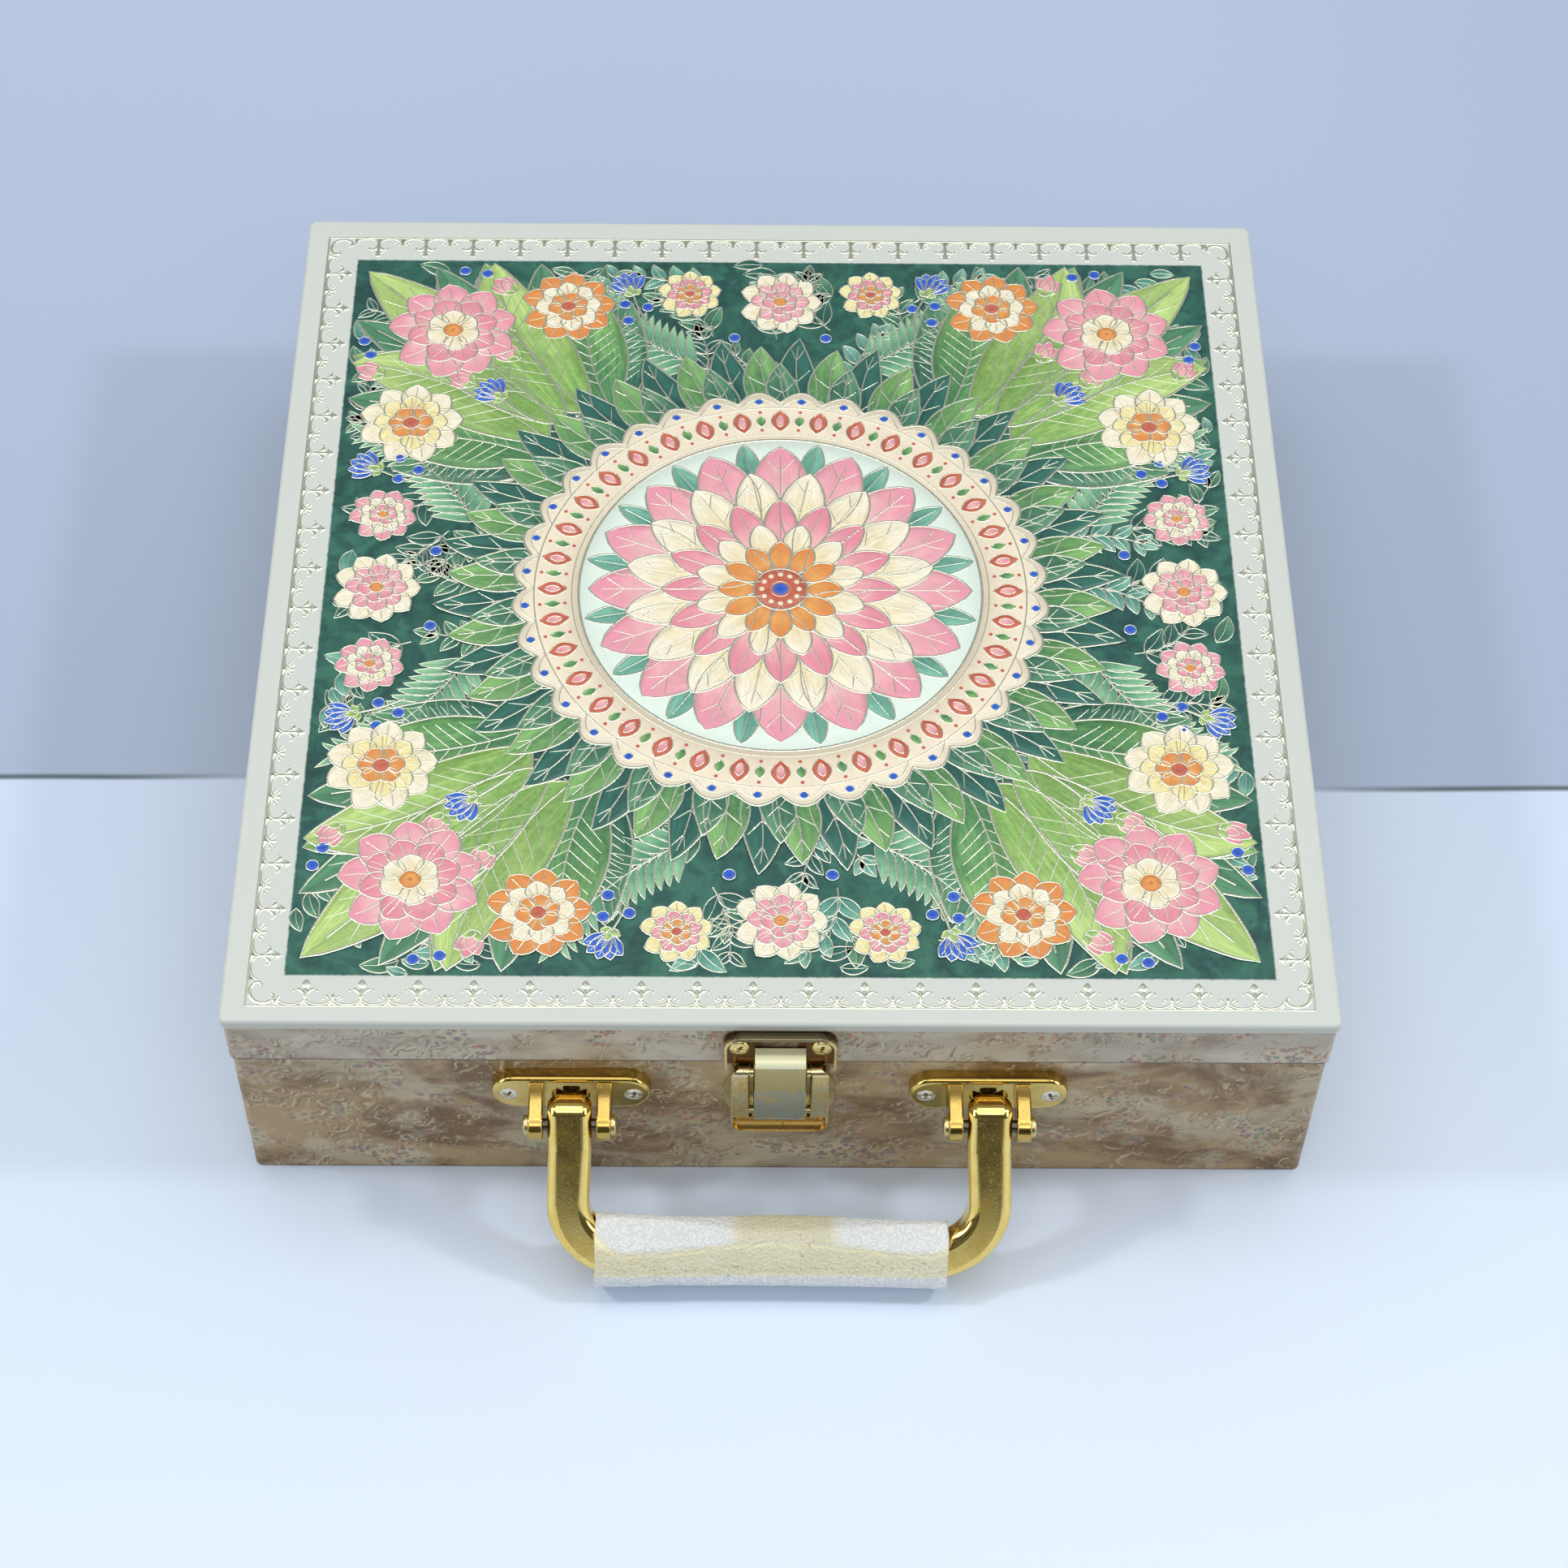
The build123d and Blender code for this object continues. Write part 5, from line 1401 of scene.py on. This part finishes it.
class SWEETBOX_OT_hinges(Operator):
    """Back hinges, their pins and screws"""
    bl_idname = "sweetbox.hinges"
    bl_label = "Hinges"

    def execute(self, context):
        brass = metal_material("hinge_brass", srgb(224, 194, 122), 0.24, 0.4,
                               srgb(184, 146, 82), 0.1, 0.2)
        steel = metal_material("hinge_steel", srgb(190, 188, 182), 0.3)
        for hand in ("left", "right"):
            dress(brass, f"hinge_{hand}_body_leaf", f"hinge_{hand}_lid_leaf")
            dress(steel, f"hinge_{hand}_pin")
        offset = centre_of("hinge_right_pin")[0]
        across = [side * offset + end * HINGE_PITCH / 2 for side in (-1, 1) for end in (-1, 1)]
        for name, body in (("body", "tray"), ("lid", "lid")):
            face = round(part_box(f"hinge_left_{name}_leaf")[0].y / MM, 3) + LEAF_THICK
            cross_heads(f"hinge_{name}_cross_heads", f"hinge_{name}_screws", across, face, 1,
                        HINGE_HEAD, 0.6, 0.28, brass, body)
        return {"FINISHED"}


# The studio

CAMERA_PLACE = (-7.118 * MM, -536.171 * MM, 709.137 * MM)
CAMERA_RIGHT = (0.999937, -0.0015755, 0.0111102)
CAMERA_UP = (-0.0053375, 0.8041390, 0.5944173)
CAMERA_BACK = (-0.0098707, -0.5944392, 0.8040800)
CAMERA_LENS, CAMERA_SENSOR = 77.367, 36.0
CAMERA_NEAR, CAMERA_FAR = 0.02, 20.0
FLOOR_HALF, FLOOR_DROP = 3000, 0.02     # mm
FOLD_Y = -11.5                          # where the backdrop's paper meets the floor's, mm
# name, place, size, share of the lamp's power
LAMPS = (("soft_box_top", (0.0, 0.18, 1.38), (1.3, 0.6), 0.7),
         ("soft_box_left", (-0.92, -0.1, 1.04), (0.13, 0.13), 0.54),
         ("soft_box_right", (0.92, -0.1, 1.04), (0.13, 0.13), 0.54),
         ("soft_box_front", (0.0, -0.9, 1.2), (1.2, 0.4), 0.34))


def stand(thing, place, right, up, back):
    """Put an object at a place, with its own x, y and z along these three."""
    turn = Matrix((right, up, back)).transposed().to_4x4()
    thing.matrix_world = Matrix.Translation(place) @ turn


def floor_material(studio):
    """Pale floor paper, painted darker towards the back and brightest at the front as painted
    shade; behind its seam a shaded backdrop, painted lighter farther back and darker to the right.
    """
    shader = Shader("studio_floor")
    x, y, _ = shader.place()
    at = shader.vector(x, y)
    fold = y + x * 0.004 + (shader.noise(at, 90.0, 1.0) - 0.5) * 3
    seam = abs(fold - FOLD_Y).under(0.8, 0.7) * abs(x).over(150, 30)
    shade = shader.noise(at, 220.0, 2.0)
    # painted shade: the floor is darker towards the back and brightest at the front
    shaded_floor = shader.mix((y - 0.12 * x).under(-150, 170), srgb(206, 222, 246), studio.floor)
    # behind the fold the shaded backdrop is painted on the floor: lighter farther back, mottled,
    # and darker to the right
    paper = shader.coats(studio.backdrop, (y.over(190, 230) * 0.75 + shade * 0.2,
                                           srgb(190, 206, 232)),
                         (x.over(190, 90) * 0.4, srgb(166, 180, 207)))
    tone = shader.coats(shaded_floor, (fold.over(FOLD_Y, 1.2), paper), (seam * 0.85, srgb(60, 76, 80)))
    return shader.done(colour=tone, rough=0.55, gloss=0.35,
                       normal=shader.bump(shader.noise(at, 1.2, 3.0), 0.04, 0.1))


def room_world(studio):
    """The room: even light for matt surfaces, and panels and a dark front for gloss to show."""
    world = bpy.data.worlds.new("room")
    bpy.context.scene.world = world
    shader = Shader("room", world)
    x, y, z = shader.parts("Generated")
    even = shader.mix(z.over(0.1, 0.5), (0.28, 0.3, 0.34), (1.0, 1.0, 1.0))
    clutter = shader.noise(shader.vector(x, y, z), 0.22, 3.0, 0.6)
    front = shader.mix(clutter.over(0.5, 0.1), (0.045, 0.045, 0.035), (0.17, 0.17, 0.15))
    panel = z.over(0.74, 0.06) * y.under(0.1, 0.12) * abs(x).under(0.7, 0.1)
    sides = abs(abs(x) - 0.86).under(0.07, 0.03) * z.over(0.1, 0.06) * y.under(0.35, 0.1)
    room = shader.coats(front, (y.over(0.0, 0.25), (0.2, 0.21, 0.22)), (panel, (1.5, 1.5, 1.45)),
                        (sides, (4.0, 4.0, 3.9)))
    seen = shader.node("ShaderNodeLightPath", output="Is Glossy Ray")
    shader.close(shader.node("ShaderNodeBackground", None, {
        0: shader.mix(seen, even, room), 1: seen * (1 - studio.sky) + studio.sky}),
        "ShaderNodeOutputWorld")


class SWEETBOX_OT_studio(Operator):
    """Pale floor, soft boxes, room light and the camera"""
    bl_idname = "sweetbox.studio"
    bl_label = "Studio"

    def execute(self, context):
        studio = settings("studio")
        scene = bpy.context.scene
        scene.view_settings.view_transform = "Standard"
        edge = np.linspace(-FLOOR_HALF, FLOOR_HALF, 3)
        x, y = np.meshgrid(edge, edge, indexing="ij")
        points, faces, _ = grid(np.stack([x, y, np.full_like(x, -FLOOR_DROP)], -1))
        mesh = bpy.data.meshes.new("studio_floor")
        mesh.from_pydata((points * MM).tolist(), [], faces.tolist())
        mesh.materials.append(floor_material(studio))
        floor = link("studio_floor", mesh)

        camera = bpy.data.cameras.new("camera")
        camera.lens, camera.sensor_width = CAMERA_LENS, CAMERA_SENSOR
        camera.sensor_fit = "HORIZONTAL"
        camera.clip_start, camera.clip_end = CAMERA_NEAR, CAMERA_FAR
        scene.camera = link("camera", camera)
        stand(scene.camera, CAMERA_PLACE, CAMERA_RIGHT, CAMERA_UP, CAMERA_BACK)

        for name, place, size, share in LAMPS:
            lamp = bpy.data.lights.new(name, "AREA")
            lamp.shape, (lamp.size, lamp.size_y) = "RECTANGLE", size
            lamp.energy = studio.lamp * share
            back = np.array(place) / np.linalg.norm(place)
            right = np.cross((0, 1, 0.01), back)
            right /= np.linalg.norm(right)
            stand(link(name, lamp), place, right, np.cross(back, right), back)
        room_world(studio)
        return {"FINISHED"}


class SWEETBOX_PT_panel(Panel):
    bl_idname = "SWEETBOX_PT_panel"
    bl_label = "Sweet box"
    bl_space_type = "VIEW_3D"
    bl_region_type = "UI"
    bl_category = "Sweet box"

    def draw(self, context):
        for name, kind in GROUPS.items():
            box = self.layout.box()
            for setting in kind.__annotations__:
                box.prop(settings(name), setting)
        for operator in OPERATORS:
            self.layout.operator(operator.bl_idname)


OPERATORS = (SWEETBOX_OT_studio, SWEETBOX_OT_lid_sheet, SWEETBOX_OT_lid_garden,
             SWEETBOX_OT_foil_border, SWEETBOX_OT_papers, SWEETBOX_OT_handle,
             SWEETBOX_OT_foam_sleeve, SWEETBOX_OT_latch, SWEETBOX_OT_hinges)
GROUPS = {"print": SWEETBOX_PG_print, "paper": SWEETBOX_PG_paper,
          "metal": SWEETBOX_PG_metal, "studio": SWEETBOX_PG_studio}


def register():
    """Register the classes and hang each group of settings on the scene."""
    for kind in (*GROUPS.values(), *OPERATORS, SWEETBOX_PT_panel):
        bpy.utils.register_class(kind)
    for name, group in GROUPS.items():
        setattr(bpy.types.Scene, "sweetbox_" + name, PointerProperty(type=group))


def unregister():
    for name in GROUPS:
        delattr(bpy.types.Scene, "sweetbox_" + name)
    for kind in reversed((*GROUPS.values(), *OPERATORS, SWEETBOX_PT_panel)):
        bpy.utils.unregister_class(kind)


def main():
    """Build everything in order."""
    register()
    for operator in OPERATORS:
        getattr(bpy.ops.sweetbox, operator.bl_idname.split(".")[1])()
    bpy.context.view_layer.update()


if __name__ == "__main__":
    main()
